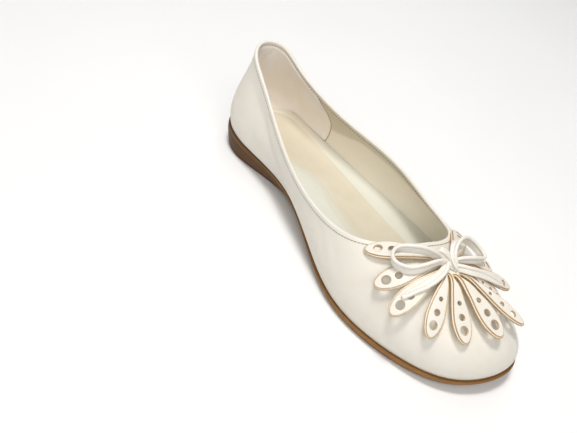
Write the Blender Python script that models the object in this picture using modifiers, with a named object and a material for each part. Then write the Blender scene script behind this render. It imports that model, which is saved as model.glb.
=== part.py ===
"""Ballet flat for the left foot, with a fan of cut-out petals and a strap bow.

Frame: +Z up, the toe points to -Y, +X is the lateral side of the left shoe.
The origin is the middle of the heel's flat spot, on the floor.

How it is built:
- One closed loop of stations runs round the edge where the upper meets the sole.
  Every station also holds its point of the topline and the bulge between the two,
  so the upper is one smooth sheet lofted round that loop, with its wall inside it.
- The outsole and the insole take their outlines from the same loop, stepped in or out.
- The fan is drawn flat, as petals on bearings round a hub, and then draped over the
  vamp. The bow's straps are swept along paths measured over that draped fan.
"""
import math
from collections import namedtuple

import bmesh
import bpy
import numpy as np
from mathutils import Matrix, Vector
from mathutils.geometry import delaunay_2d_cdt

MM = 0.001
COLLECTION = "ballet_flat"

# ---------------------------------------------------------------- driving sizes, in mm
WALL = 1.8                # upper with its lining
GAP = 0.3                 # free play between pieces that touch in the real shoe
TOPLINE_BAND = 3.0        # folded edge round the mouth
TOPLINE_STEP = 0.5        # how far that edge stands proud of the upper
TOPLINE_EASE = 0.4        # rounding of its rim
OUTSOLE_LENGTH = 250.0
HEEL_BACK_Y = 30.0        # outsole's rearmost point
EDGE_BEAD = 0.5           # height of the rounding at the outsole's top edge
CAP_STEP = 6.0            # last ring inside the soles' outlines, before their flat middle
BOTTOM_ROUND = 1.2        # height of the rounding at the outsole's bottom edge
INSOLE_THICK = 3.2
ARCH_LIFT = 3.0
TOE_SPRING = 6.5
HEEL_SPRING = 2.0
FAN_THICK = 1.8           # two layers of upper leather
HUB_DIP = 3.5             # how far the sewn hub is pulled down to the vamp
HUB_DIP_RADIUS = 15.0
HUB_RADIUS = 9.0
SLIT = 1.1                # width of the cut between two petals at the hub
HOLE_SIZES = ((22.0, 2.8), (29.0, 4.0), (35.5, 5.3))     # distance from hub, diameter
NOMINAL_PETAL = 42.5      # petal length and width that those holes belong to
NOMINAL_WIDTH = 12.6
LOOP_WIDE = 5.0           # height of the straps that stand on edge
TAIL_WIDE = 4.4
STRAP_THICK = 1.7
KNOT_SIZE = (5.6, 9.0, 6.8)                              # across, fore and aft, high
KNOT_ROUND = 2.0
BACK_BEND = 0.0125        # bend of the fan behind its hub, where there is no petal

LOOP_COLUMNS = 88         # columns round the upper, the outsole and the insole
BODY_ROWS = 12            # rows up the upper's side, below the folded edge
SECTION_SAMPLES = 60      # points at which a section's length is measured
RIM_SIDES = 10            # sides of a petal's hole

# A row is one station of the loop, from the heel back round the lateral side to the toe
# and home along the medial side. feather = edge over the sole, top = topline point.
# lean and rise: first handle of the section, outward and up. pull: how far the last
# handle runs back toward the feather. drop: how far that handle hangs.
# flange = how far the outsole stands out past the feather. tuck = the same at the floor.
Station = namedtuple("Station", "feather_x feather_y top_x top_y top_z "
                                "lean rise pull drop flange tuck")
STATIONS = (
    Station(0.0, 28.0, 0.0, 22.0, 73.5, 6.5, 17.5, 0.00, 22.5, 1.4, -1.0),       # heel back
    Station(19.0, 20.5, 12.5, 14.0, 70.5, 5.5, 18.0, 0.00, 20.5, 1.4, -1.0),
    Station(26.5, -3.0, 17.5, -6.0, 59.5, 6.0, 16.0, 0.00, 16.0, 1.2, -2.5),
    Station(30.5, -44.5, 24.5, -43.5, 49.5, 6.0, 14.0, 0.00, 12.0, 1.0, -4.5),   # waist
    Station(36.0, -89.5, 31.5, -86.0, 45.5, 6.0, 13.0, 0.10, 11.0, 1.2, -2.5),
    Station(40.0, -132.0, 27.5, -123.5, 42.5, 6.0, 14.0, 0.33, 8.0, 1.6, 0.5),   # ball
    Station(36.5, -176.0, 19.0, -145.5, 45.5, 4.5, 15.5, 0.50, 7.5, 1.8, 0.8),
    Station(24.0, -210.0, 8.0, -149.5, 46.8, 4.0, 16.5, 0.52, 7.5, 1.8, 0.5),
    Station(2.5, -218.5, -2.5, -147.5, 48.6, 4.5, 18.5, 0.54, 7.5, 1.8, 0.3),    # toe tip
    Station(-24.0, -206.0, -14.0, -143.5, 48.8, 5.0, 18.0, 0.54, 7.0, 1.8, 0.5),
    Station(-40.0, -176.0, -25.0, -135.0, 47.0, 5.0, 17.0, 0.50, 7.0, 1.8, 0.8),
    Station(-46.0, -134.5, -36.0, -117.0, 43.0, 5.0, 15.0, 0.36, 8.0, 1.6, 0.5),  # ball
    Station(-34.0, -91.5, -37.0, -85.5, 41.0, 7.5, 14.5, 0.10, 11.0, 1.0, -2.5),
    Station(-22.5, -47.0, -28.0, -45.0, 46.0, 8.5, 15.5, 0.00, 12.0, 0.6, -5.0),  # waist
    Station(-26.0, -4.0, -17.5, -7.0, 59.5, 5.5, 16.0, 0.00, 16.5, 1.0, -3.0),
    Station(-19.0, 20.5, -12.5, 14.0, 70.5, 5.5, 18.0, 0.00, 20.5, 1.4, -1.0),
)

# Height of the outsole's top edge, at each share of the length from heel to toe.
SOLE_TOP = ((0.00, 17.7), (0.12, 14.2), (0.30, 11.6), (0.45, 8.2), (0.60, 5.6),
            (0.72, 4.9), (0.85, 6.2), (0.95, 9.0), (1.00, 11.2))
# Where the bottom leaves the floor, as shares of the length.
HEEL_SPRING_END, ARCH_START, ARCH_END, TOE_SPRING_START = 0.04, 0.24, 0.62, 0.80

# The fan's own plane: hub centre, then its turn about X (nose down), Y and Z.
HUB = (-3.0, -165.0, 50.0)
FAN_TURN_DEG = (13.5, 5.0, -6.0)
# bearing: degrees from the fan's axis, lateral side positive. bend: 1/radius of the drape.
Petal = namedtuple("Petal", "bearing length width bend")
PETALS = (
    Petal(-127, 48.0, 12.4, 0.0140),
    Petal(-99, 45.0, 12.0, 0.0195),
    Petal(-73, 44.0, 12.4, 0.0200),
    Petal(-42, 42.5, 12.6, 0.0155),
    Petal(-16, 43.5, 12.4, 0.0100),
    Petal(9, 45.5, 11.4, 0.0025),
    Petal(28, 49.0, 9.0, 0.0020),
    Petal(45, 45.0, 8.6, 0.0060),
    Petal(62, 45.0, 9.6, 0.0095),
    Petal(86, 42.5, 11.6, 0.0150),
    Petal(119, 41.5, 12.4, 0.0130),
)

# Strap paths: forward and lateral distance from the hub in the fan's plane, and the
# height of the strap's middle over the draped fan.
LEFT_LOOP = ((-1.8, -3.5, 5.6), (-5.6, -7.8, 7.6), (-9.6, -12.8, 8.6), (-13.4, -18.4, 8.2),
             (-16.8, -24.0, 6.9), (-17.2, -28.2, 5.7), (-14.2, -30.4, 4.7),
             (-9.4, -29.0, 4.0), (-5.6, -25.2, 3.8), (-3.2, -19.6, 3.8),
             (-1.6, -13.2, 3.8), (0.6, -7.6, 3.8), (1.3, -3.5, 3.8))
RIGHT_LOOP = ((-1.8, 3.5, 5.6), (-5.6, 6.4, 7.2), (-9.0, 11.6, 7.2), (-10.4, 18.0, 6.3),
              (-9.0, 24.0, 5.4), (-4.8, 27.8, 4.4), (0.0, 28.8, 3.9),
              (3.8, 25.6, 3.8), (4.6, 18.6, 3.8), (3.4, 11.2, 3.8), (1.4, 3.5, 3.8))
LEFT_TAIL = ((5.0, -3.6, 2.1), (6.0, -9.0, 2.2), (6.9, -16.0, 2.2), (7.4, -23.0, 2.2),
             (7.2, -29.0, 2.2), (6.5, -34.0, 2.2))
RIGHT_TAIL = ((5.6, 3.6, 2.1), (8.4, 7.2, 2.3), (11.8, 11.4, 2.4), (15.6, 18.0, 2.5),
              (19.6, 26.0, 2.4))

# name: base colour, roughness
FINISHES = {
    "white_leather": ((0.86, 0.83, 0.78, 1.0), 0.42),
    "gum_rubber": ((0.27, 0.14, 0.055, 1.0), 0.38),
    "cream_sock": ((0.74, 0.68, 0.55, 1.0), 0.62),
}


# ---------------------------------------------------------------- curves and tables
def closed_spline(table, count):
    """Cubic spline through the rows of a closed table, sampled at evenly spaced places."""
    rows = np.asarray(table, float)
    total = len(rows)
    unit = np.eye(total)
    after, before = np.roll(rows, -1, 0), np.roll(rows, 1, 0)
    bend = np.linalg.solve(4 * unit + np.roll(unit, 1, 0) + np.roll(unit, -1, 0),
                           6 * (after - 2 * rows + before))
    place = np.arange(count) * total / count
    left = place.astype(int)
    t = (place - left)[:, None]
    right = (left + 1) % total
    return ((1 - t) * rows[left] + t * rows[right]
            + ((1 - t) ** 3 - (1 - t)) * bend[left] / 6 + (t ** 3 - t) * bend[right] / 6)


def smooth_table(pairs, x):
    """Cubic curve through (place, value) pairs, with slopes from the neighbours."""
    px, py = (np.array(column, float) for column in zip(*pairs))
    slope = np.gradient(py, px)
    x = np.clip(x, px[0], px[-1])
    i = np.clip(np.searchsorted(px, x) - 1, 0, len(px) - 2)
    h = px[i + 1] - px[i]
    t = (x - px[i]) / h
    return ((1 + 2 * t) * (1 - t) ** 2 * py[i] + t * (1 - t) ** 2 * h * slope[i]
            + t * t * (3 - 2 * t) * py[i + 1] + t * t * (t - 1) * h * slope[i + 1])


def open_spline(points, count):
    """Points spaced evenly by length along a smooth path through the given ones."""
    pts = np.asarray(points, float)
    steps = np.r_[0.0, np.cumsum(np.linalg.norm(np.diff(pts, axis=0), axis=1))]
    dense = np.linspace(0.0, steps[-1], 12 * len(pts))
    path = np.column_stack([smooth_table(list(zip(steps, pts[:, k])), dense)
                            for k in range(3)])
    length = np.r_[0.0, np.cumsum(np.linalg.norm(np.diff(path, axis=0), axis=1))]
    even = np.linspace(0.0, length[-1], count)
    return np.column_stack([np.interp(even, length, path[:, k]) for k in range(3)])


def share_of_length(y):
    """0 at the outsole's heel end, 1 at its toe end."""
    return (HEEL_BACK_Y - np.asarray(y, float)) / OUTSOLE_LENGTH


def sole_top(y):
    """Height of the outsole's top face."""
    return smooth_table(SOLE_TOP, share_of_length(y))


def sole_bottom(y):
    """Height of the outsole's bottom: flat under heel and forefoot, sprung elsewhere."""
    s = share_of_length(y)
    heel = HEEL_SPRING * np.clip((HEEL_SPRING_END - s) / HEEL_SPRING_END, 0, 2) ** 2
    arch = ARCH_LIFT * np.sin(np.pi * np.clip((s - ARCH_START) / (ARCH_END - ARCH_START),
                                              0, 1)) ** 2
    toe = TOE_SPRING * np.clip((s - TOE_SPRING_START) / (1 - TOE_SPRING_START), 0, 2) ** 1.6
    return heel + arch + toe


# ---------------------------------------------------------------- the last's loop
def outward(loop):
    """Unit plan normals of a closed loop of points that runs heel, lateral, toe, medial."""
    along = np.roll(loop, -1, 0) - np.roll(loop, 1, 0)
    normal = np.column_stack([-along[:, 1], along[:, 0], np.zeros(len(loop))])
    return normal / np.linalg.norm(normal, axis=1)[:, None]


def last_loop(count):
    """Station values, feather points and outward normals at count places of the loop."""
    rows = closed_spline(STATIONS, count)
    feather = np.column_stack([rows[:, 0], rows[:, 1], sole_top(rows[:, 1])])
    return rows, feather, outward(feather)


def stepped(feather, normal, distance, height):
    """The loop moved out by distance (one value or one per point), at the given heights."""
    ring = feather + normal * np.reshape(distance, (-1, 1))
    ring[:, 2] = height
    return ring


def upper_columns(count, lengths_for):
    """Outer face of the upper: each column sampled at the lengths that lengths_for gives."""
    rows, feather, normal = last_loop(count)
    feather = feather + np.array([0, 0, GAP])
    top = rows[:, 2:5]
    lean, rise, pull, drop = (rows[:, k, None] for k in (5, 6, 7, 8))
    up = np.array([0.0, 0.0, 1.0])
    across = (top - feather) * np.array([1, 1, 0])
    low = feather + normal * lean + up * rise
    high = top - across * pull + normal * 2 * (1 - pull) - up * drop
    v = np.linspace(0, 1, SECTION_SAMPLES)[:, None, None]
    sheet = ((1 - v) ** 3 * feather + 3 * (1 - v) ** 2 * v * low
             + 3 * (1 - v) * v * v * high + v ** 3 * top)
    grid = []
    for column in range(count):
        line = sheet[:, column]
        length = np.r_[0.0, np.cumsum(np.linalg.norm(np.diff(line, axis=0), axis=1))]
        at = lengths_for(length[-1])
        grid.append(np.column_stack([np.interp(at, length, line[:, k]) for k in range(3)]))
    return np.array(grid).transpose(1, 0, 2), normal


def sheet_normals(grid):
    """Outward unit normals of a grid of rows that close on themselves."""
    round_ = np.roll(grid, -1, 1) - np.roll(grid, 1, 1)
    upward = np.gradient(grid, axis=0)
    normal = np.cross(upward, round_)
    return normal / np.linalg.norm(normal, axis=2)[..., None]


# ---------------------------------------------------------------- meshes
def add_object(name, vertices, faces, finish):
    """Mesh object in the shoe's collection, from points in mm, with its faces outward."""
    mesh = bpy.data.meshes.new(name)
    mesh.from_pydata([tuple(p) for p in np.asarray(vertices) * MM], [], faces)
    mesh.validate()
    work = bmesh.new()
    work.from_mesh(mesh)
    bmesh.ops.recalc_face_normals(work, faces=work.faces)
    work.to_mesh(mesh)
    work.free()
    mesh.shade_smooth()
    mesh.materials.append(bpy.data.materials[finish])
    item = bpy.data.objects.new(name, mesh)
    bpy.data.collections[COLLECTION].objects.link(item)
    return item


def bridge(first, second, count):
    """Quads between two closed rings of count vertices that start at these indices."""
    return [(first + i, first + (i + 1) % count, second + (i + 1) % count, second + i)
            for i in range(count)]


def ladder(first, count):
    """Faces across a closed ring, rung by rung from its vertex 0 to the opposite one."""
    half = count // 2
    faces = []
    for i in range(half):
        rung = [first + i, first + i + 1, first + count - i - 1, first + (count - i) % count]
        faces.append(tuple(dict.fromkeys(rung)))
    return faces


def stack(name, rings, finish, wrap):
    """Solid of closed rings joined in turn: wrapped round on itself, or closed by rungs."""
    count = len(rings[0])
    faces = []
    for k in range(len(rings) - 1):
        faces += bridge(k * count, (k + 1) * count, count)
    if wrap:
        faces += bridge((len(rings) - 1) * count, 0, count)
    else:
        faces += ladder(0, count) + ladder((len(rings) - 1) * count, count)
    return add_object(name, np.vstack(rings), faces, finish)


def sweep(name, centres, wides, highs, section, finish):
    """Solid strap: the section's (across, up) points carried along centres."""
    rings = [c + section[:, :1] * w + section[:, 1:] * h
             for c, w, h in zip(centres, wides, highs)]
    count = len(section)
    faces = []
    for k in range(len(rings) - 1):
        faces += bridge(k * count, (k + 1) * count, count)
    faces.append(tuple(range(count)))
    faces.append(tuple(range((len(rings) - 1) * count, len(rings) * count)))
    return add_object(name, np.vstack(rings), faces, finish)


# ---------------------------------------------------------------- upper and soles
def upper_faces():
    """Outer and inner face of the upper, as rows from the feather to the topline.

    The last rows are the folded edge, which stands proud of the side below it.
    """
    band = TOPLINE_BAND + 0.3, TOPLINE_BAND - 0.2, 0.9, 0.0
    proud = 0.0, TOPLINE_STEP, TOPLINE_STEP, 0.0

    def lengths(total):
        body = np.linspace(0.0, 1.0, BODY_ROWS) * (total - band[0])
        return np.r_[body, total - np.array(band[1:])]

    sheet, normal = upper_columns(LOOP_COLUMNS, lengths)
    face = sheet_normals(sheet)
    face[0] = normal
    step = np.r_[np.zeros(BODY_ROWS - 1), proud][:, None, None]
    inset = np.full(len(sheet), WALL)
    inset[-1] -= TOPLINE_EASE
    return sheet + face * step, sheet - face * inset[:, None, None]


def make_upper():
    """Hollow upper: outer face, topline and inner face in one closed wall."""
    outer, inner = upper_faces()
    return stack("upper", list(outer) + list(inner[::-1]), "white_leather", wrap=True)


def make_outsole():
    """Outsole with a low wedge heel, arch, toe spring and a rounded edge."""
    rows, feather, normal = last_loop(LOOP_COLUMNS)
    flange, tuck = rows[:, 9], rows[:, 10]
    top = sole_top(feather[:, 1])
    bottom = sole_bottom(feather[:, 1])
    deep = top - bottom
    inside = tuck - CAP_STEP
    rings = [
        stepped(feather, normal, -CAP_STEP, sole_top((feather - CAP_STEP * normal)[:, 1])),
        stepped(feather, normal, flange - 0.7, top),
        stepped(feather, normal, flange - 0.2, top - EDGE_BEAD),
        stepped(feather, normal, flange, top - 0.26 * deep),
        stepped(feather, normal, 0.55 * flange + 0.45 * tuck, top - 0.62 * deep),
        stepped(feather, normal, tuck, bottom + BOTTOM_ROUND),
        stepped(feather, normal, tuck - 1.0, bottom),
        stepped(feather, normal, inside, sole_bottom((feather + inside[:, None] * normal)[:, 1])),
    ]
    return stack("outsole", rings, "gum_rubber", wrap=False)


def make_insole():
    """Insole inside the upper's wall, on the outsole."""
    _, feather, normal = last_loop(LOOP_COLUMNS)
    _, inner = upper_faces()
    base = sole_top(feather[:, 1]) + GAP

    def against_wall(clear, height):
        share = (height / (inner[1] - inner[0])[:, 2])[:, None]
        return stepped(inner[0] + share * (inner[1] - inner[0]), normal, -clear,
                       base + height)

    rings = [
        against_wall(CAP_STEP, 0.0),
        against_wall(GAP + 0.1, 0.0),
        against_wall(GAP + 0.1, INSOLE_THICK - 0.7),
        against_wall(GAP + 0.7, INSOLE_THICK),
        against_wall(CAP_STEP, INSOLE_THICK),
    ]
    return stack("insole", rings, "cream_sock", wrap=False)


# ---------------------------------------------------------------- the fan
def turn_matrix(degrees):
    """Rotation by the three angles about X, then Y, then Z."""
    cx, cy, cz = (math.cos(math.radians(a)) for a in degrees)
    sx, sy, sz = (math.sin(math.radians(a)) for a in degrees)
    about_x = np.array([[1, 0, 0], [0, cx, -sx], [0, sx, cx]])
    about_y = np.array([[cy, 0, sy], [0, 1, 0], [-sy, 0, cy]])
    about_z = np.array([[cz, -sz, 0], [sz, cz, 0], [0, 0, 1]])
    return about_z @ about_y @ about_x


def drape(forward, lateral, height, dip=0.0):
    """Point of the draped fan, from its place in the flat fan and its height over it.

    A petal leaves the hub along its bearing and bends down as an arc. The bend changes
    smoothly from one petal's bearing to the next. dip pulls the middle down to the vamp.
    """
    frame = turn_matrix(FAN_TURN_DEG)
    ahead, side, up = frame @ [0, -1, 0], frame @ [1, 0, 0], frame @ [0, 0, 1]
    forward, lateral, height = (np.asarray(a, float) for a in (forward, lateral, height))
    distance = np.hypot(forward, lateral)
    angle = np.arctan2(lateral, forward)
    bends = ([(-180.0, BACK_BEND)] + [(p.bearing, p.bend) for p in PETALS]
             + [(180.0, BACK_BEND)])
    bend = smooth_table(bends, np.degrees(angle))
    turn = bend * distance
    out = np.cos(angle)[..., None] * ahead + np.sin(angle)[..., None] * side
    t = np.clip(distance / HUB_DIP_RADIUS, 0, 1)
    drop = (1 - np.cos(turn)) / bend + dip * (1 - t * t * (3 - 2 * t))
    face = out * np.sin(turn)[..., None] + up * np.cos(turn)[..., None]
    return (np.array(HUB) + out * (np.sin(turn) / bend)[..., None]
            - up * drop[..., None] + face * height[..., None])


def petal_edge(petal, spread):
    """Flat outline of one petal, from its low-bearing side to the other.

    spread is the angle to its nearer neighbour, which sets how wide its root can be.
    """
    waist = HUB_RADIUS + 1.0
    belly = 0.72 * petal.length
    half = petal.width / 2
    root = waist * math.sin(math.radians(spread / 2)) - SLIT / 2
    sides = [(waist, root), (0.45 * petal.length, 0.45 * root + 0.55 * half),
             (0.60 * petal.length, 0.90 * half), (belly, half)]
    tip = [(belly + (petal.length - belly) * math.sin(a), half * math.cos(a))
           for a in np.radians((24, 48, 70))]
    right = sides + tip
    line = [(x, -y) for x, y in right] + [(petal.length, 0.0)] + right[::-1]
    return turned(line, petal.bearing)


def turned(points, bearing):
    """Flat points moved from the fan's axis to a bearing."""
    c, s = math.cos(math.radians(bearing)), math.sin(math.radians(bearing))
    return [(x * c - y * s, x * s + y * c) for x, y in points]


def petal_holes(petal):
    """Flat circles cut in one petal: centre and radius, smallest near the hub."""
    scale = petal.length / NOMINAL_PETAL
    narrow = petal.width / NOMINAL_WIDTH
    return [(turned([(distance * scale, 0.0)], petal.bearing)[0], narrow * size / 2)
            for distance, size in HOLE_SIZES]


def fan_outline():
    """Closed flat outline: petals in turn, a rounded slit between each two, hub behind."""
    line = []
    gaps = [b.bearing - a.bearing for a, b in zip(PETALS, PETALS[1:])]
    for k, petal in enumerate(PETALS):
        line += petal_edge(petal, min(gaps[max(k - 1, 0):k + 1]))
        if k + 1 < len(PETALS):
            middle = (petal.bearing + PETALS[k + 1].bearing) / 2
            line += turned([(HUB_RADIUS, 0.0)], middle)
    behind = [a for a in range(PETALS[-1].bearing + 20, PETALS[0].bearing + 360, 20)]
    line += [turned([(HUB_RADIUS - 1.5, 0.0)], a)[0] for a in behind]
    return line


def make_fan():
    """One solid fan of petals with their holes, draped over the vamp."""
    outline = fan_outline()
    circles = [c for petal in PETALS for c in petal_holes(petal)]
    rims = [[(x + r * math.cos(a), y + r * math.sin(a))
             for a in np.arange(RIM_SIDES) * math.tau / RIM_SIDES] for (x, y), r in circles]
    inside = [(0.0, 0.0)] + [turned([(HUB_RADIUS / 2, 0.0)], a)[0] for a in range(0, 360, 45)]
    points, edges = [], []
    for loop in [outline] + rims:
        start = len(points)
        points += loop
        edges += [(start + i, start + (i + 1) % len(loop)) for i in range(len(loop))]
    points += inside
    outer = [list(range(len(outline)))]
    flat, _, faces, _, _, _ = delaunay_2d_cdt([Vector(p) for p in points], edges, outer,
                                              1, 1e-4)
    flat = np.array([tuple(p) for p in flat])
    keep = []
    for face in faces:
        centre = flat[list(face)].mean(0)
        if all(math.dist(centre, c) > 0.9 * r for c, r in circles):
            keep.append(tuple(face))
    count = len(flat)
    top = drape(flat[:, 0], flat[:, 1], np.full(count, FAN_THICK / 2), HUB_DIP)
    low = drape(flat[:, 0], flat[:, 1], np.full(count, -FAN_THICK / 2), HUB_DIP)
    directed = {(f[i], f[(i + 1) % 3]) for f in keep for i in range(3)}
    walls = [(a, b, b + count, a + count) for a, b in directed if (b, a) not in directed]
    faces = keep + [tuple(i + count for i in reversed(f)) for f in keep] + walls
    return add_object("petal_fan", np.vstack([top, low]), faces, "white_leather")


# ---------------------------------------------------------------- the bow
def strap_section(wide, thick):
    """Closed flat section of a folded strap, with its long edges eased."""
    ease = 0.3 * thick
    quarter = [(thick / 2, wide / 2 - ease), (thick / 2 - ease, wide / 2)]
    right = [(x, -y) for x, y in reversed(quarter)] + quarter
    return np.array(right + [(-x, -y) for x, y in right])


def fan_up():
    """Unit normal of the fan's plane."""
    return turn_matrix(FAN_TURN_DEG) @ np.array([0.0, 0.0, 1.0])


def make_strap(name, path, count, on_edge):
    """Bow strap along a path over the fan, standing on its edge or lying flat."""
    forward, lateral, height = np.asarray(path, float).T
    low, high = (open_spline(drape(forward, lateral, height + step), count)
                 for step in (-0.5, 0.5))
    centres = (low + high) / 2
    up = (high - low) / np.linalg.norm(high - low, axis=1)[:, None]
    along = np.gradient(centres, axis=0)
    side = np.cross(along, up)
    side /= np.linalg.norm(side, axis=1)[:, None]
    if on_edge:
        section = strap_section(LOOP_WIDE, STRAP_THICK)
        return sweep(name, centres, side, up, section, "white_leather")
    section = strap_section(TAIL_WIDE, STRAP_THICK)
    return sweep(name, centres, up, side, section, "white_leather")


def make_knot():
    """Knot of the bow: a block with rounded edges, seated on the hub."""
    seat = FAN_THICK / 2 - HUB_DIP + 3 * GAP + KNOT_SIZE[2] / 2
    place = Vector((np.array(HUB) + fan_up() * seat) * MM)
    bpy.ops.mesh.primitive_cube_add(size=1.0, location=place)
    knot = bpy.context.object
    knot.name = "bow_knot"
    knot.rotation_euler = [math.radians(a) for a in FAN_TURN_DEG]
    knot.data.transform(Matrix.Diagonal([side * MM for side in KNOT_SIZE] + [1.0]))
    knot.data.materials.append(bpy.data.materials["white_leather"])
    knot.data.shade_smooth()
    for collection in list(knot.users_collection):
        collection.objects.unlink(knot)
    bpy.data.collections[COLLECTION].objects.link(knot)
    bevel = knot.modifiers.new("rounding", "BEVEL")
    bevel.width = KNOT_ROUND * MM
    bevel.segments = 3
    return knot


# ---------------------------------------------------------------- build
def prepare():
    """Empty scene, the shoe's collection and its finishes."""
    for item in list(bpy.data.objects):
        bpy.data.objects.remove(item)
    collection = bpy.data.collections.new(COLLECTION)
    bpy.context.scene.collection.children.link(collection)
    for name, (colour, roughness) in FINISHES.items():
        material = bpy.data.materials.new(name)
        material.use_nodes = True
        shader = material.node_tree.nodes["Principled BSDF"]
        shader.inputs["Base Color"].default_value = colour
        shader.inputs["Roughness"].default_value = roughness


def main():
    prepare()
    make_outsole()
    make_insole()
    make_upper()
    make_fan()
    make_strap("bow_loop_left", LEFT_LOOP, 26, on_edge=True)
    make_strap("bow_loop_right", RIGHT_LOOP, 24, on_edge=True)
    make_strap("bow_tail_left", LEFT_TAIL, 10, on_edge=False)
    make_strap("bow_tail_right", RIGHT_TAIL, 9, on_edge=False)
    make_knot()


main()
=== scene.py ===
"""Looks of a ballet flat for the left foot: white leather, gum sole, petal fan and bow.

Frame: +Z up, the toe points to -Y and +X is the lateral side. Lengths in this file are in
millimetres until a mesh is written, and node sizes in the materials are in metres.
"""
import logging
import math
from dataclasses import dataclass
from enum import Enum
from typing import Any, Dict, List, Optional, Sequence, Tuple

import bmesh
import bpy
import numpy as np
from mathutils import Matrix, Vector


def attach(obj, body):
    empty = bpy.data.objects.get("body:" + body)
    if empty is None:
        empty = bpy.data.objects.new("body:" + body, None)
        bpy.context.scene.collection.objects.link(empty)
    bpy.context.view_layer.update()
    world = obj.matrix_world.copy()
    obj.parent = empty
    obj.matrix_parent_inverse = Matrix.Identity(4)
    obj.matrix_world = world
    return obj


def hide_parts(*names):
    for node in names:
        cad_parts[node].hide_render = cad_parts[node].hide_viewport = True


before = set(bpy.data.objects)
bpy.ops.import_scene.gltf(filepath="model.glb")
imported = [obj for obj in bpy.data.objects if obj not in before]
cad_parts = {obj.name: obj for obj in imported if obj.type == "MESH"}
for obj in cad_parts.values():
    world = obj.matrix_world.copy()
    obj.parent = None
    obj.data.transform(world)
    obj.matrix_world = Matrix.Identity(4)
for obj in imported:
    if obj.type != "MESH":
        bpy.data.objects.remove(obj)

MM = 0.001
SEAM_AT = 3.05      # distance of the topline's seam below its edge
LOG = logging.getLogger("ballet_flat")
Colour = Tuple[float, float, float]
Edge = Tuple[float, float]              # where a smooth step is 0, and where it is 1
Pairs = Sequence[Tuple[float, float]]   # places and their values
Path = Tuple[Tuple[float, ...], ...]    # rows of numbers along a path


# ================================================================ shader arithmetic
class Value:
    """A socket of a material. Arithmetic on it adds Math nodes."""

    def __init__(self, bench: "Bench", socket: bpy.types.NodeSocket) -> None:
        """Keeps the material's bench and the socket."""
        self.bench = bench
        self.socket = socket

    def _math(self, operation: str, *terms: Any) -> "Value":
        """One Math node on these terms, in order."""
        return self.bench.node("ShaderNodeMath", {"operation": operation},
                               dict(enumerate(terms)))

    def __add__(self, other: Any) -> "Value":
        """self + other."""
        return self._math("ADD", self, other)

    def __sub__(self, other: Any) -> "Value":
        """self - other."""
        return self._math("SUBTRACT", self, other)

    def __rsub__(self, other: Any) -> "Value":
        """other - self."""
        return self._math("SUBTRACT", other, self)

    def __mul__(self, other: Any) -> "Value":
        """self * other."""
        return self._math("MULTIPLY", self, other)

    __radd__ = __add__
    __rmul__ = __mul__

    def size(self) -> "Value":
        """The value without its sign."""
        return self._math("ABSOLUTE", self)

    def ramp(self, low: float, high: float) -> "Value":
        """0 at low and 1 at high, with a smooth step between; low may be the larger.

        Args:
            low: where the ramp is 0.
            high: where the ramp is 1.

        Returns:
            The ramp's value.
        """
        flip = low > high
        low, high = min(low, high), max(low, high)
        made = self.bench.node(
            "ShaderNodeMapRange", {"interpolation_type": "SMOOTHSTEP"},
            {"Value": self, "From Min": low, "From Max": high})
        return 1 - made if flip else made


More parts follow.
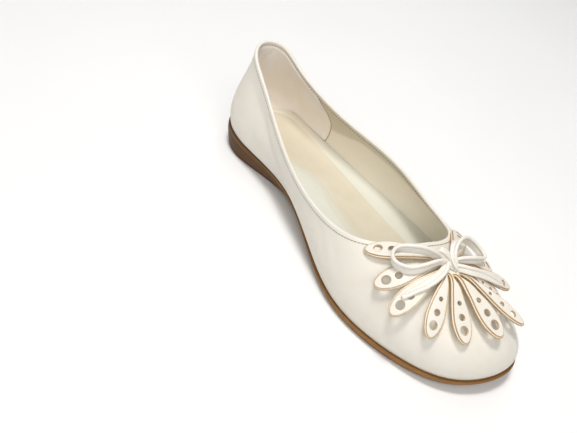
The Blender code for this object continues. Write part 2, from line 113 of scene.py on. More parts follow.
class Bench:
    """Makes one material, node by node."""

    def __init__(self, name: str) -> None:
        """Starts a material with a Principled shader and its output.

        Args:
            name: the material's name.
        """
        self.material = bpy.data.materials.new(name)
        self.material.use_nodes = True
        self.tree = self.material.node_tree
        self.shader = self.tree.nodes["Principled BSDF"]
        self.place = self.node("ShaderNodeTexCoord", output="Object")

    def node(self, kind: str, settings: Optional[Dict[str, Any]] = None,
             values: Optional[Dict[Any, Any]] = None, output: Any = 0) -> Value:
        """Adds any node.

        Args:
            kind: the node's type.
            settings: its own properties, set before its sockets.
            values: numbers, colours or Values for its input sockets, by name or number.
            output: which output to return.

        Returns:
            The chosen output.
        """
        made = self.tree.nodes.new(kind)
        for name, value in (settings or {}).items():
            setattr(made, name, value)
        for name, value in (values or {}).items():
            self.feed(made.inputs[name], value)
        return Value(self, made.outputs[output])

    def feed(self, socket: bpy.types.NodeSocket, value: Any) -> None:
        """Links a Value to the socket, or sets a plain value on it.

        Args:
            socket: the input.
            value: a Value, or what the socket holds.
        """
        if isinstance(value, Value):
            self.tree.links.new(value.socket, socket)
        elif isinstance(value, tuple) and len(value) == 3 and socket.type == "RGBA":
            socket.default_value = (*value, 1.0)
        else:
            socket.default_value = value

    def attribute(self, name: str) -> Value:
        """A number that the mesh carries at its points."""
        return self.node("ShaderNodeAttribute", {"attribute_name": name}, output="Fac")

    def noise(self, cell_mm: float, detail: float = 2.0, stretch: Any = None) -> Value:
        """Soft noise from 0 to 1.

        Args:
            cell_mm: size of its features.
            detail: number of octaves.
            stretch: factors for the three axes, if any.

        Returns:
            The noise.
        """
        place: Any = self.place
        if stretch is not None:
            place = self.node("ShaderNodeVectorMath", {"operation": "MULTIPLY"},
                              {0: self.place, 1: stretch})
        return self.node("ShaderNodeTexNoise", {},
                         {"Vector": place, "Scale": 1.0 / (cell_mm * MM), "Detail": detail})

    def cells(self, cell_mm: float) -> Value:
        """Distance within cells of about cell_mm, from 0 at each cell's middle."""
        return self.node("ShaderNodeTexVoronoi", {},
                         {"Vector": self.place, "Scale": 1.0 / (cell_mm * MM)})

    def blend(self, first: Any, second: Any, factor: Any) -> Value:
        """Colour first, moved toward second by factor."""
        return self.node("ShaderNodeMix", {"data_type": "RGBA"},
                         {0: factor, 6: first, 7: second}, output=2)

    def bump(self, height: Value, distance_mm: float, strength: float = 1.0,
             under: Optional[Value] = None) -> Value:
        """Normal of a relief of that height and depth, on top of another one if given.

        Args:
            height: the relief, from 0 to 1.
            distance_mm: its depth.
            strength: the share of it that shows.
            under: normal of the relief below it.

        Returns:
            The normal.
        """
        values = {"Height": height, "Distance": distance_mm * MM, "Strength": strength}
        if under is not None:
            values["Normal"] = under
        return self.node("ShaderNodeBump", {}, values)

    def finish(self, colour: Any, roughness: Any, normal: Value,
               **constants: float) -> bpy.types.Material:
        """Feeds the shader and returns the material.

        Args:
            colour: base colour.
            roughness: roughness.
            normal: normal from bump.
            constants: plain numbers for other sockets, with _ for a space.

        Returns:
            The finished material.
        """
        self.feed(self.shader.inputs["Base Color"], colour)
        self.feed(self.shader.inputs["Roughness"], roughness)
        self.feed(self.shader.inputs["Normal"], normal)
        for name, value in constants.items():
            self.shader.inputs[name.replace("_", " ")].default_value = value
        return self.material


# ================================================================ finishes
@dataclass(frozen=True)
class CoatedLeather:
    """White coated leather: fine pebble grain, soft undulation, handling marks.

    On the upper, foot is the height over the sole's edge and rim the distance from the
    topline; both carry grime and the sunk stitch line.
    """

    name: str = "coated_leather"
    base: Colour = (0.83, 0.79, 0.71)
    warm: Colour = (0.80, 0.735, 0.62)
    cool: Colour = (0.80, 0.78, 0.74)
    grime: Colour = (0.46, 0.36, 0.24)
    seam: Colour = (0.36, 0.31, 0.25)
    inner_band: Colour = (0.70, 0.61, 0.46)
    grain_mm: float = 0.55
    rough: float = 0.36
    seam_mm: Tuple[float, float] = (0.46, 0.16)
    inner_band_mm: Tuple[float, float] = (-0.9, -2.6)
    grime_mm: float = 2.4
    haze_mm: float = 9.0
    scuff_mm: Tuple[float, float] = (16.0, 3.0)
    on_upper: bool = False

    def make(self) -> bpy.types.Material:
        """Builds the material.

        Returns:
            The material.
        """
        b = Bench(self.name)
        mottle, patch = b.noise(9.0, 3.0), b.noise(34.0, 2.0)
        colour = b.blend(self.base, self.warm, mottle.ramp(0.42, 0.75) * 0.45)
        colour = b.blend(colour, self.cool, patch.ramp(0.45, 0.75) * 0.5)
        pores = b.cells(self.grain_mm)
        colour = b.blend(colour, self.warm, pores.ramp(0.30, 0.75) * 0.22)
        rough = self.rough + mottle * 0.10 + pores * 0.10
        if self.on_upper:
            rim, foot = b.attribute("rim"), b.attribute("foot")
            line = (rim - SEAM_AT).size().ramp(*self.seam_mm)
            colour = b.blend(colour, self.seam, line * 0.5)
            # Darker tan band on the inner face just below the folded edge, left off at the
            # heel.
            turned = rim.ramp(*self.inner_band_mm) * (1 - b.attribute("back"))
            colour = b.blend(colour, self.inner_band, turned * 0.6)
            low = foot.ramp(self.grime_mm, 0.0) * (0.45 + mottle * 0.6)
            colour = b.blend(colour, self.grime, low * 0.55)
            haze = foot.ramp(self.haze_mm, 0.0) * b.noise(5.0, 4.0).ramp(0.45, 0.72)
            colour = b.blend(colour, self.warm, haze * 0.5)
            scuff = b.noise(3.2, 5.0, (1.0, 0.25, 1.0)).ramp(0.66, 0.74)
            colour = b.blend(colour, self.grime, scuff * foot.ramp(*self.scuff_mm) * 0.16)
            rough = rough + scuff * 0.12
        soft = b.bump(b.noise(6.5, 2.0), 0.16, 0.55)
        grain = b.bump(1 - pores.ramp(0.05, 0.75), 0.045, 0.65, soft)
        fine = b.bump(b.noise(0.22, 2.0), 0.02, 0.5, grain)
        return b.finish(colour, rough, fine, Coat_Weight=0.10, Coat_Roughness=0.34)


@dataclass(frozen=True)
class QuarterLining:
    """Matt lining of greyish cream coated cloth, with a fine speckle."""

    name: str = "quarter_lining"
    base: Colour = (0.95, 0.885, 0.76)
    deep: Colour = (0.87, 0.795, 0.65)
    fore: Colour = (0.96, 0.91, 0.80)
    shade: Colour = (0.66, 0.59, 0.445)
    thread: Colour = (0.30, 0.24, 0.165)
    rough: float = 0.58
    seam_lower: float = 0.10
    seam_mm: Tuple[float, float] = (0.36, 0.12)

    def make(self) -> bpy.types.Material:
        """Builds the material.

        Returns:
            The material.
        """
        b = Bench(self.name)
        speck, cloud = b.noise(0.7, 3.0), b.noise(16.0, 2.0)
        colour = b.blend(self.base, self.deep, speck.ramp(0.4, 0.7) * 0.45 + cloud * 0.25)
        colour = b.blend(colour, self.fore, b.attribute("fore") * 0.9)
        # Painted shade: the band of lining under the topline, through the pull mask.
        colour = b.blend(colour, self.shade, b.attribute("pull") * 0.8)
        line = (b.attribute("rim") + (SEAM_AT + self.seam_lower)).size().ramp(*self.seam_mm)
        colour = b.blend(colour, self.thread, line * 0.4)
        relief = b.bump(speck, 0.05, 0.6, b.bump(cloud, 0.5, 0.35))
        return b.finish(colour, self.rough + speck * 0.12, relief)


@dataclass(frozen=True)
class Suede:
    """Pinkish beige microfibre suede with a short nap that is brushed in patches."""

    name: str = "heel_suede"
    base: Colour = (0.96, 0.885, 0.80)
    brushed: Colour = (0.98, 0.92, 0.865)
    shade: Colour = (0.86, 0.77, 0.665)
    lip: Colour = (0.97, 0.91, 0.86)
    # burn: colour of the painted shadow of the gap under the suede's front edges
    burn: Colour = (0.36, 0.27, 0.17)
    rough: float = 0.86
    shade_mm: Tuple[float, float] = (1.4, 0.3)
    edge_shadow_mm: Tuple[float, float] = (0.5, 0.15)

    def make(self) -> bpy.types.Material:
        """Builds the material.

        Returns:
            The material.
        """
        b = Bench(self.name)
        nap = b.noise(0.35, 3.0, (1.0, 1.0, 0.5))
        swept = b.noise(11.0, 3.0, (1.0, 1.0, 0.45))
        colour = b.blend(self.base, self.brushed, swept.ramp(0.42, 0.64))
        colour = b.blend(colour, self.shade, nap.ramp(0.5, 0.8) * 0.35)
        edge = b.attribute("edge")
        # Painted shade toward the front edges, and right along them a painted shadow of the
        # gap that the suede's thickness leaves.
        colour = b.blend(colour, self.shade, edge.ramp(*self.shade_mm) * 0.5)
        colour = b.blend(colour, self.burn, edge.ramp(*self.edge_shadow_mm) * 0.85)
        colour = b.blend(colour, self.lip, b.attribute("lip") * 0.5)
        relief = b.bump(nap, 0.08, 0.7, b.bump(swept, 0.4, 0.35))
        return b.finish(colour, self.rough, relief, Sheen_Weight=0.25,
                        Sheen_Roughness=0.5)


@dataclass(frozen=True)
class SockSheet:
    """Insole cover: a warm cream middle panel and a paler, faintly green moulded rim."""

    name: str = "sock_sheet"
    panel: Colour = (0.665, 0.605, 0.475)
    rim: Colour = (0.685, 0.68, 0.595)
    press: Colour = (0.56, 0.50, 0.37)
    # back: the rim toward the heel, warmer in tone and painted lighter to lift the shade
    # there
    back: Colour = (0.84, 0.775, 0.66)
    rough: float = 0.46
    border_mm: Tuple[float, float] = (-0.7, 0.9)
    line_mm: Tuple[float, float] = (0.55, 0.05)

    def make(self) -> bpy.types.Material:
        """Builds the material.

        Returns:
            The material.
        """
        b = Bench(self.name)
        inside = b.attribute("panel")
        mask = inside.ramp(*self.border_mm)
        cloud, speck = b.noise(14.0, 3.0), b.noise(0.6, 2.0)
        cream = b.blend(self.panel, self.press, cloud.ramp(0.42, 0.8) * 0.28)
        # Toward the heel the rim takes a warmer tone and is painted lighter: painted light
        # that lifts the shade the heel casts on it.
        edge = b.blend(self.rim, self.back, b.attribute("back") * 0.9)
        colour = b.blend(edge, cream, mask * (1 - b.attribute("pale") * 0.8))
        colour = b.blend(colour, self.press, inside.size().ramp(*self.line_mm) * 0.30)
        colour = b.blend(colour, self.press, speck.ramp(0.5, 0.8) * 0.14)
        pores = b.cells(0.8)
        relief = b.bump(1 - pores.ramp(0.1, 0.7), 0.04, 0.5, b.bump(cloud, 0.5, 0.3))
        return b.finish(colour, self.rough + speck * 0.14, relief)


@dataclass(frozen=True)
class GumRubber:
    """Moulded gum rubber: semi-gloss, streaked, darker at the heel and scuffed low down."""

    name: str = "gum_rubber_sole"
    base: Colour = (0.245, 0.118, 0.036)
    dark: Colour = (0.085, 0.038, 0.011)
    # pale: colour of the specks and of the painted highlight along the lip
    pale: Colour = (0.41, 0.235, 0.095)
    dust: Colour = (0.46, 0.35, 0.23)
    rough: float = 0.50

    def make(self) -> bpy.types.Material:
        """Builds the material.

        Returns:
            The material.
        """
        b = Bench(self.name)
        cloud, speck = b.noise(12.0, 3.0), b.noise(0.8, 3.0)
        heel, low = b.attribute("heel"), b.attribute("low")
        colour = b.blend(self.base, self.dark, cloud.ramp(0.35, 0.75) * 0.35)
        colour = b.blend(colour, self.dark, heel * 0.88)
        # Painted highlight: a lighter band along the top of the side, under the lip.
        colour = b.blend(colour, self.pale, b.attribute("lip") * (0.24 + cloud * 0.3))
        colour = b.blend(colour, self.pale, speck.ramp(0.55, 0.8) * 0.16)
        scuff = b.noise(2.4, 5.0, (0.35, 0.35, 2.2)).ramp(0.60, 0.72) * low
        colour = b.blend(colour, self.dust, scuff * 0.24)
        rough = self.rough + cloud * 0.12 + scuff * 0.16 + low * 0.06
        relief = b.bump(speck, 0.03, 0.5, b.bump(cloud, 0.35, 0.35))
        return b.finish(colour, rough, relief, Specular_IOR_Level=0.20)


@dataclass(frozen=True)
class CutEdge:
    """Raw tan edge of cut leather: fibres and lighter flecks."""

    name: str = "cut_edge"
    base: Colour = (0.60, 0.405, 0.19)
    fleck: Colour = (0.72, 0.54, 0.33)
    burn: Colour = (0.36, 0.215, 0.085)
    rough: float = 0.74

    def make(self) -> bpy.types.Material:
        """Builds the material.

        Returns:
            The material.
        """
        b = Bench(self.name)
        fibre, cloud = b.noise(0.25, 3.0), b.noise(3.0, 2.0)
        colour = b.blend(self.base, self.fleck, fibre.ramp(0.45, 0.75) * 0.6)
        colour = b.blend(colour, self.burn, cloud.ramp(0.5, 0.8) * 0.4)
        return b.finish(colour, self.rough, b.bump(fibre, 0.06, 0.6))


@dataclass(frozen=True)
class FanLeather:
    """White petal leather with a tan line where its cut edge shows."""

    name: str = "petal_leather"
    base: Colour = (0.86, 0.815, 0.73)
    warm: Colour = (0.82, 0.745, 0.62)
    edge: Colour = (0.57, 0.375, 0.165)
    soak: Colour = (0.76, 0.62, 0.42)
    rough: float = 0.38
    line_mm: float = 0.27
    waver_mm: float = 0.10

    def make(self) -> bpy.types.Material:
        """Builds the material.

        Returns:
            The material.
        """
        b = Bench(self.name)
        mottle, pores = b.noise(6.0, 3.0), b.cells(0.5)
        colour = b.blend(self.base, self.warm, mottle.ramp(0.45, 0.75) * 0.4)
        colour = b.blend(colour, self.warm, pores.ramp(0.3, 0.75) * 0.2)
        line = self.line_mm
        rim = b.attribute("edge") + (b.noise(1.6, 2.0) - 0.5) * self.waver_mm
        colour = b.blend(colour, self.soak, rim.ramp(2.6 * line, line) * 0.30)
        colour = b.blend(colour, self.edge, rim.ramp(line + 0.12, line - 0.06))
        grain = b.bump(1 - pores.ramp(0.05, 0.75), 0.04, 0.6, b.bump(mottle, 0.2, 0.4))
        return b.finish(colour, self.rough + mottle * 0.12, grain,
                        Coat_Weight=0.08, Coat_Roughness=0.35)


@dataclass(frozen=True)
class Thread:
    """Twisted sewing thread."""

    name: str
    base: Colour
    dark: Colour
    rough: float = 0.62

    def make(self) -> bpy.types.Material:
        """Builds the material.

        Returns:
            The material.
        """
        b = Bench(self.name)
        twist = b.noise(0.16, 2.0, (1.0, 1.0, 2.0))
        colour = b.blend(self.base, self.dark, twist.ramp(0.45, 0.7))
        return b.finish(colour, self.rough, b.bump(twist, 0.05, 0.7))


@dataclass(frozen=True)
class StudioFloor:
    """Plain pale floor with the faintest unevenness."""

    name: str = "studio_floor"
    base: Colour = (0.90, 0.90, 0.895)
    soft: Colour = (0.885, 0.885, 0.88)
    rough: float = 0.75

    def make(self) -> bpy.types.Material:
        """Builds the material.

        Returns:
            The material.
        """
        b = Bench(self.name)
        cloud = b.noise(160.0, 2.0)
        colour = b.blend(self.base, self.soft, cloud.ramp(0.3, 0.7))
        return b.finish(colour, self.rough, b.bump(cloud, 0.5, 0.05))


class Finish(Enum):
    """The shoe's finishes; each is built once."""

    UPPER = CoatedLeather("upper_leather", on_upper=True)
    STRAP = CoatedLeather("strap_leather", (0.87, 0.83, 0.76), (0.83, 0.77, 0.67),
                          grain_mm=0.42)
    LINING = QuarterLining()
    SUEDE = Suede()
    SOCK = SockSheet()
    RUBBER = GumRubber()
    PETAL = FanLeather()
    EDGE = CutEdge()
    SEAM_THREAD = Thread("seam_thread", (0.30, 0.255, 0.20), (0.18, 0.145, 0.11))
    STRAP_THREAD = Thread("strap_thread", (0.66, 0.62, 0.56), (0.44, 0.40, 0.35))
    FLOOR = StudioFloor()

    def material(self) -> bpy.types.Material:
        """The finish's material, built at its first use."""
        return bpy.data.materials.get(self.value.name) or self.value.make()


# ================================================================ curves and tables
def table(pairs: Pairs, x: np.ndarray) -> np.ndarray:
    """Cubic curve through (place, value) pairs, with slopes from the neighbours.

    Args:
        pairs: places, in rising order, and their values.
        x: where to read the curve.

    Returns:
        The values at x.
    """
    px, py = (np.array(column, float) for column in zip(*pairs))
    slope = np.gradient(py, px)
    x = np.clip(x, px[0], px[-1])
    i = np.clip(np.searchsorted(px, x) - 1, 0, len(px) - 2)
    h = px[i + 1] - px[i]
    t = (x - px[i]) / h
    return ((1 + 2 * t) * (1 - t) ** 2 * py[i] + t * (1 - t) ** 2 * h * slope[i]
            + t * t * (3 - 2 * t) * py[i + 1] + t * t * (t - 1) * h * slope[i + 1])


def step(x: np.ndarray) -> np.ndarray:
    """Smooth step: 0 below 0, 1 above 1, and 3x^2 - 2x^3 between."""
    t = np.clip(x, 0.0, 1.0)
    return t * t * (3 - 2 * t)


def window(x: np.ndarray, *edges: Edge) -> np.ndarray:
    """Product of smooth steps of x, one for each edge.

    Args:
        x: where to read it.
        edges: pairs of numbers; a step is 0 at the first one and 1 at the second.

    Returns:
        The product, from 0 to 1.
    """
    return math.prod(step((x - start) / (stop - start)) for start, stop in edges)


def run_length(line: np.ndarray) -> np.ndarray:
    """Length walked along the first axis of an array of points, 0 at its start."""
    hops = np.linalg.norm(np.diff(line, axis=0), axis=-1)
    return np.concatenate([np.zeros((1,) + hops.shape[1:]), np.cumsum(hops, axis=0)])


def at_length(line: np.ndarray, length: np.ndarray, want: np.ndarray) -> np.ndarray:
    """Points of each column of a grid at the wanted lengths along it.

    Each point is the straight blend of the two samples that lie round its length.

    Args:
        line: grid of points, shaped (samples, columns, 3).
        length: length walked along each column.
        want: wanted lengths, a row for each row of the result.

    Returns:
        Points, shaped (rows, columns, 3).
    """
    index = np.clip((length[None] <= want[:, None]).sum(1) - 1, 0, len(length) - 2)
    low = np.take_along_axis(length, index, 0)
    high = np.take_along_axis(length, index + 1, 0)
    share = ((want - low) / (high - low))[..., None]
    a = np.take_along_axis(line, index[..., None], 0)
    b = np.take_along_axis(line, index[..., None] + 1, 0)
    return a + (b - a) * share


def path_at(points: np.ndarray, want: np.ndarray) -> np.ndarray:
    """Values of a polyline's columns at these lengths along its first three columns."""
    length = run_length(points[:, :3])
    return np.column_stack([np.interp(want, length, column) for column in points.T])


def smooth_path(rows: Sequence[Sequence[float]], count: int) -> np.ndarray:
    """Rows of numbers, spaced evenly by length on a cubic curve through the given rows.

    The first three numbers of a row are a place; any others follow along.

    Args:
        rows: the given rows.
        count: number of rows wanted.

    Returns:
        The rows, spaced evenly.
    """
    rows = np.asarray(rows, float)
    places = run_length(rows[:, :3])
    dense = np.linspace(0.0, places[-1], 16 * len(rows))
    line = np.column_stack([table(list(zip(places, column)), dense) for column in rows.T])
    return path_at(line, np.linspace(0.0, run_length(line[:, :3])[-1], count))


def unit(vectors: np.ndarray) -> np.ndarray:
    """Vectors of length 1."""
    return vectors / np.maximum(np.linalg.norm(vectors, axis=-1), 1e-9)[..., None]


def grid_normals(grid: np.ndarray) -> np.ndarray:
    """Unit normals of a grid whose rows close on themselves: rise crossed with round."""
    return unit(np.cross(np.gradient(grid, axis=0),
                         np.roll(grid, -1, 1) - np.roll(grid, 1, 1)))


def smooth_rows(rings: np.ndarray, per_span: int) -> np.ndarray:
    """Catmull-Rom curve through a stack of rings, with per_span rows in each span.

    Args:
        rings: the rings, shaped (rings, points, 3).
        per_span: number of rows from one ring to the next.

    Returns:
        The rows.
    """
    before = np.concatenate([rings[:1], rings[:-1]])
    after = np.concatenate([rings[1:], rings[-1:]])
    slope = (after - before) / 2
    t = (np.arange(per_span) / per_span)[None, :, None, None]
    a, b, ma, mb = (k[:, None] for k in (rings[:-1], rings[1:], slope[:-1], slope[1:]))
    rows = ((1 + 2 * t) * (1 - t) ** 2 * a + t * (1 - t) ** 2 * ma
            + t * t * (3 - 2 * t) * b + t * t * (t - 1) * mb)
    return np.concatenate([rows.reshape(-1, *rings.shape[1:]), rings[-1:]])


def pick(grid: np.ndarray, row: np.ndarray, column: np.ndarray) -> np.ndarray:
    """Grid values at fractional rows and (wrapping) columns, blended from four points.

    Args:
        grid: values, shaped (rows, columns, 3).
        row: fractional rows.
        column: fractional columns.

    Returns:
        The values at those places.
    """
    r0 = np.clip(np.floor(row).astype(int), 0, len(grid) - 2)
    c0 = np.floor(column).astype(int)
    fr, fc = (row - r0)[..., None], (column - c0)[..., None]
    width = grid.shape[1]
    a, b = c0 % width, (c0 + 1) % width
    return ((1 - fr) * ((1 - fc) * grid[r0, a] + fc * grid[r0, b])
            + fr * ((1 - fc) * grid[r0 + 1, a] + fc * grid[r0 + 1, b]))


# ================================================================ mesh maker
WELD_M = 2e-6       # points closer than this are merged
ALL_SMOOTH = 180.0  # turn between faces, in degrees, at which no edge stays crisp


class Patchwork:
    """Gathers grids of points into one mesh, with a finish and numbers for each grid."""

    def __init__(self, name: str) -> None:
        """Starts an empty piece with this name.

        Args:
            name: the piece's name.
        """
        self.name = name
        self.points: List[np.ndarray] = []
        self.faces: List[np.ndarray] = []
        self.finishes: List[Finish] = []
        self.slots: List[np.ndarray] = []
        self.numbers: Dict[str, List[np.ndarray]] = {}
        self.total = 0

    def grids(self, stack: np.ndarray, finish: Finish, wrap_columns: bool = False,
              **numbers: np.ndarray) -> None:
        """Adds N grids at once.

        Args:
            stack: points, shaped (N, rows, columns, 3).
            finish: the finish of every face.
            wrap_columns: joins each grid's last column to its first.
            numbers: values at the points, by attribute name; 0 where none are given.
        """
        many, rows, columns = stack.shape[:3]
        index = np.arange(rows * columns).reshape(rows, columns)
        if wrap_columns:
            index = np.concatenate([index, index[:, :1]], 1)
        quads = np.stack([index[:-1, :-1], index[:-1, 1:], index[1:, 1:], index[1:, :-1]],
                         -1).reshape(-1, 4)
        shift = self.total + np.arange(many)[:, None, None] * rows * columns
        faces = (quads[None] + shift).reshape(-1, 4)
        if finish not in self.finishes:
            self.finishes.append(finish)
        self.points.append(stack.reshape(-1, 3))
        self.faces.append(faces)
        self.slots.append(np.full(len(faces), self.finishes.index(finish), np.int32))
        for name in dict.fromkeys([*self.numbers, *numbers]):
            held = self.numbers.setdefault(name, [np.zeros(self.total)])
            given = np.broadcast_to(numbers.get(name, 0.0), stack.shape[:3])
            held.append(given.reshape(-1))
        self.total += many * rows * columns

    def grid(self, points: np.ndarray, finish: Finish, wrap_columns: bool = False,
             **numbers: np.ndarray) -> None:
        """Adds one grid of points, shaped (rows, columns, 3).

        Args:
            points: the grid.
            finish: the finish of every face.
            wrap_columns: joins the last column to the first.
            numbers: values at the points, by attribute name.
        """
        held = {name: np.broadcast_to(value, points.shape[:2])[None]
                for name, value in numbers.items()}
        self.grids(points[None], finish, wrap_columns, **held)

    def build(self, sharp_deg: float = 50.0) -> bpy.types.Object:
        """Writes the mesh, welds its seams and poles, and turns its faces out.

        Args:
            sharp_deg: edges that turn more than this stay crisp.

        Returns:
            The piece's object, at the origin.
        """
        points = np.concatenate(self.points) * MM
        faces = np.concatenate(self.faces).astype(np.int32)
        mesh = bpy.data.meshes.new(self.name)
        mesh.vertices.add(len(points))
        mesh.vertices.foreach_set("co", points.astype(np.float32).ravel())
        mesh.loops.add(faces.size)
        mesh.loops.foreach_set("vertex_index", faces.ravel())
        mesh.polygons.add(len(faces))
        mesh.polygons.foreach_set("loop_start", np.arange(0, faces.size, 4, dtype=np.int32))
        for finish in self.finishes:
            mesh.materials.append(finish.material())
        mesh.polygons.foreach_set("material_index", np.concatenate(self.slots))
        for name, parts in self.numbers.items():
            layer = mesh.attributes.new(name, "FLOAT", "POINT")
            layer.data.foreach_set("value", np.concatenate(parts).astype(np.float32))
        mesh.update(calc_edges=True)
        work = bmesh.new()
        work.from_mesh(mesh)
        bmesh.ops.remove_doubles(work, verts=work.verts, dist=WELD_M)
        bmesh.ops.recalc_face_normals(work, faces=work.faces)
        limit = math.radians(sharp_deg)
        for edge in work.edges:
            edge.smooth = not edge.is_manifold or edge.calc_face_angle(0.0) < limit
        work.to_mesh(mesh)
        work.free()
        mesh.polygons.foreach_set("use_smooth", np.ones(len(mesh.polygons), bool))
        mesh.update()
        piece = bpy.data.objects.new(self.name, mesh)
        bpy.context.scene.collection.objects.link(piece)
        return piece


def settle(piece: bpy.types.Object, slot: str, *nodes: str) -> bpy.types.Object:
    """Rides the piece on the shoe and hides the solids it stands for.

    Args:
        piece: the finished piece.
        slot: the finish slot that it shows; not used.
        nodes: the solids that it stands for, if any.

    Returns:
        The piece.
    """
    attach(piece, "root")
    if nodes:
        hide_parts(*nodes)
    LOG.info("%s: %d faces", piece.name, len(piece.data.polygons))
    return piece


STITCH_RINGS, STITCH_SIDES = 7, 6


def stitches(middle: np.ndarray, along: np.ndarray, length: float,
             radius: float) -> np.ndarray:
    """Short thread stitches: capsules, as N closed grids.

    Along a stitch, x runs as -cos and the radius as the square root of sin, from end to
    end; each ring is a circle across it.

    Args:
        middle: middles of the stitches.
        along: the ways they run.
        length: length of a stitch.
        radius: radius of the thread.

    Returns:
        Points, shaped (stitches, rings, sides, 3).
    """
    along = unit(along)
    helper = np.where(np.abs(along[:, 2:]) > 0.9, [[1.0, 0, 0]], [[0, 0, 1.0]])
    side = unit(np.cross(along, helper))
    up = np.cross(side, along)
    phi = np.linspace(0.0, math.pi, STITCH_RINGS)
    turn = np.arange(STITCH_SIDES) * math.tau / STITCH_SIDES
    reach = (-np.cos(phi) * length / 2)[None, :, None, None]
    wide = (np.sqrt(np.abs(np.sin(phi))) * radius)[None, :, None, None]
    c, s = np.cos(turn)[None, None, :, None], np.sin(turn)[None, None, :, None]
    a, b, d = (v[:, None, None, :] for v in (along, side, up))
    return middle[:, None, None, :] + a * reach + wide * (b * c + d * s)


# ================================================================ the last
STATIONS = np.array([
    # feather x, y   topline x, y, z   lean  rise  pull  drop  flange  tuck
    (0.0, 28.0, 0.0, 22.0, 73.5, 6.5, 17.5, 0.00, 22.5, 1.4, -1.0),        # heel back
    (19.0, 20.5, 12.5, 14.0, 70.5, 5.5, 18.0, 0.00, 20.5, 1.4, -1.0),
    (26.5, -3.0, 17.5, -6.0, 59.5, 6.0, 16.0, 0.00, 16.0, 1.2, -2.5),
    (30.5, -44.5, 24.5, -43.5, 49.5, 6.0, 14.0, 0.00, 12.0, 1.0, -4.5),    # waist
    (36.0, -89.5, 31.5, -86.0, 45.5, 6.0, 13.0, 0.10, 11.0, 1.2, -2.5),
    (40.0, -132.0, 27.5, -123.5, 42.5, 6.0, 14.0, 0.33, 8.0, 1.6, 0.5),    # ball
    (36.5, -176.0, 19.0, -145.5, 45.5, 4.5, 15.5, 0.50, 7.5, 1.8, 0.8),
    (24.0, -210.0, 8.0, -149.5, 46.8, 4.0, 16.5, 0.52, 7.5, 1.8, 0.5),
    (2.5, -218.5, -2.5, -147.5, 48.6, 4.5, 18.5, 0.54, 7.5, 1.8, 0.3),     # toe tip
    (-24.0, -206.0, -14.0, -143.5, 48.8, 5.0, 18.0, 0.54, 7.0, 1.8, 0.5),
    (-40.0, -176.0, -25.0, -135.0, 47.0, 5.0, 17.0, 0.50, 7.0, 1.8, 0.8),
    (-46.0, -134.5, -36.0, -117.0, 43.0, 5.0, 15.0, 0.36, 8.0, 1.6, 0.5),  # ball
    (-34.0, -91.5, -37.0, -85.5, 41.0, 7.5, 14.5, 0.10, 11.0, 1.0, -2.5),
    (-22.5, -47.0, -28.0, -45.0, 46.0, 8.5, 15.5, 0.00, 12.0, 0.6, -4.0),  # waist
    (-26.0, -4.0, -17.5, -7.0, 59.5, 5.5, 16.0, 0.00, 16.5, 1.4, 0.2),
    (-19.0, 20.5, -12.5, 14.0, 70.5, 5.5, 18.0, 0.00, 20.5, 1.4, -0.8),
])


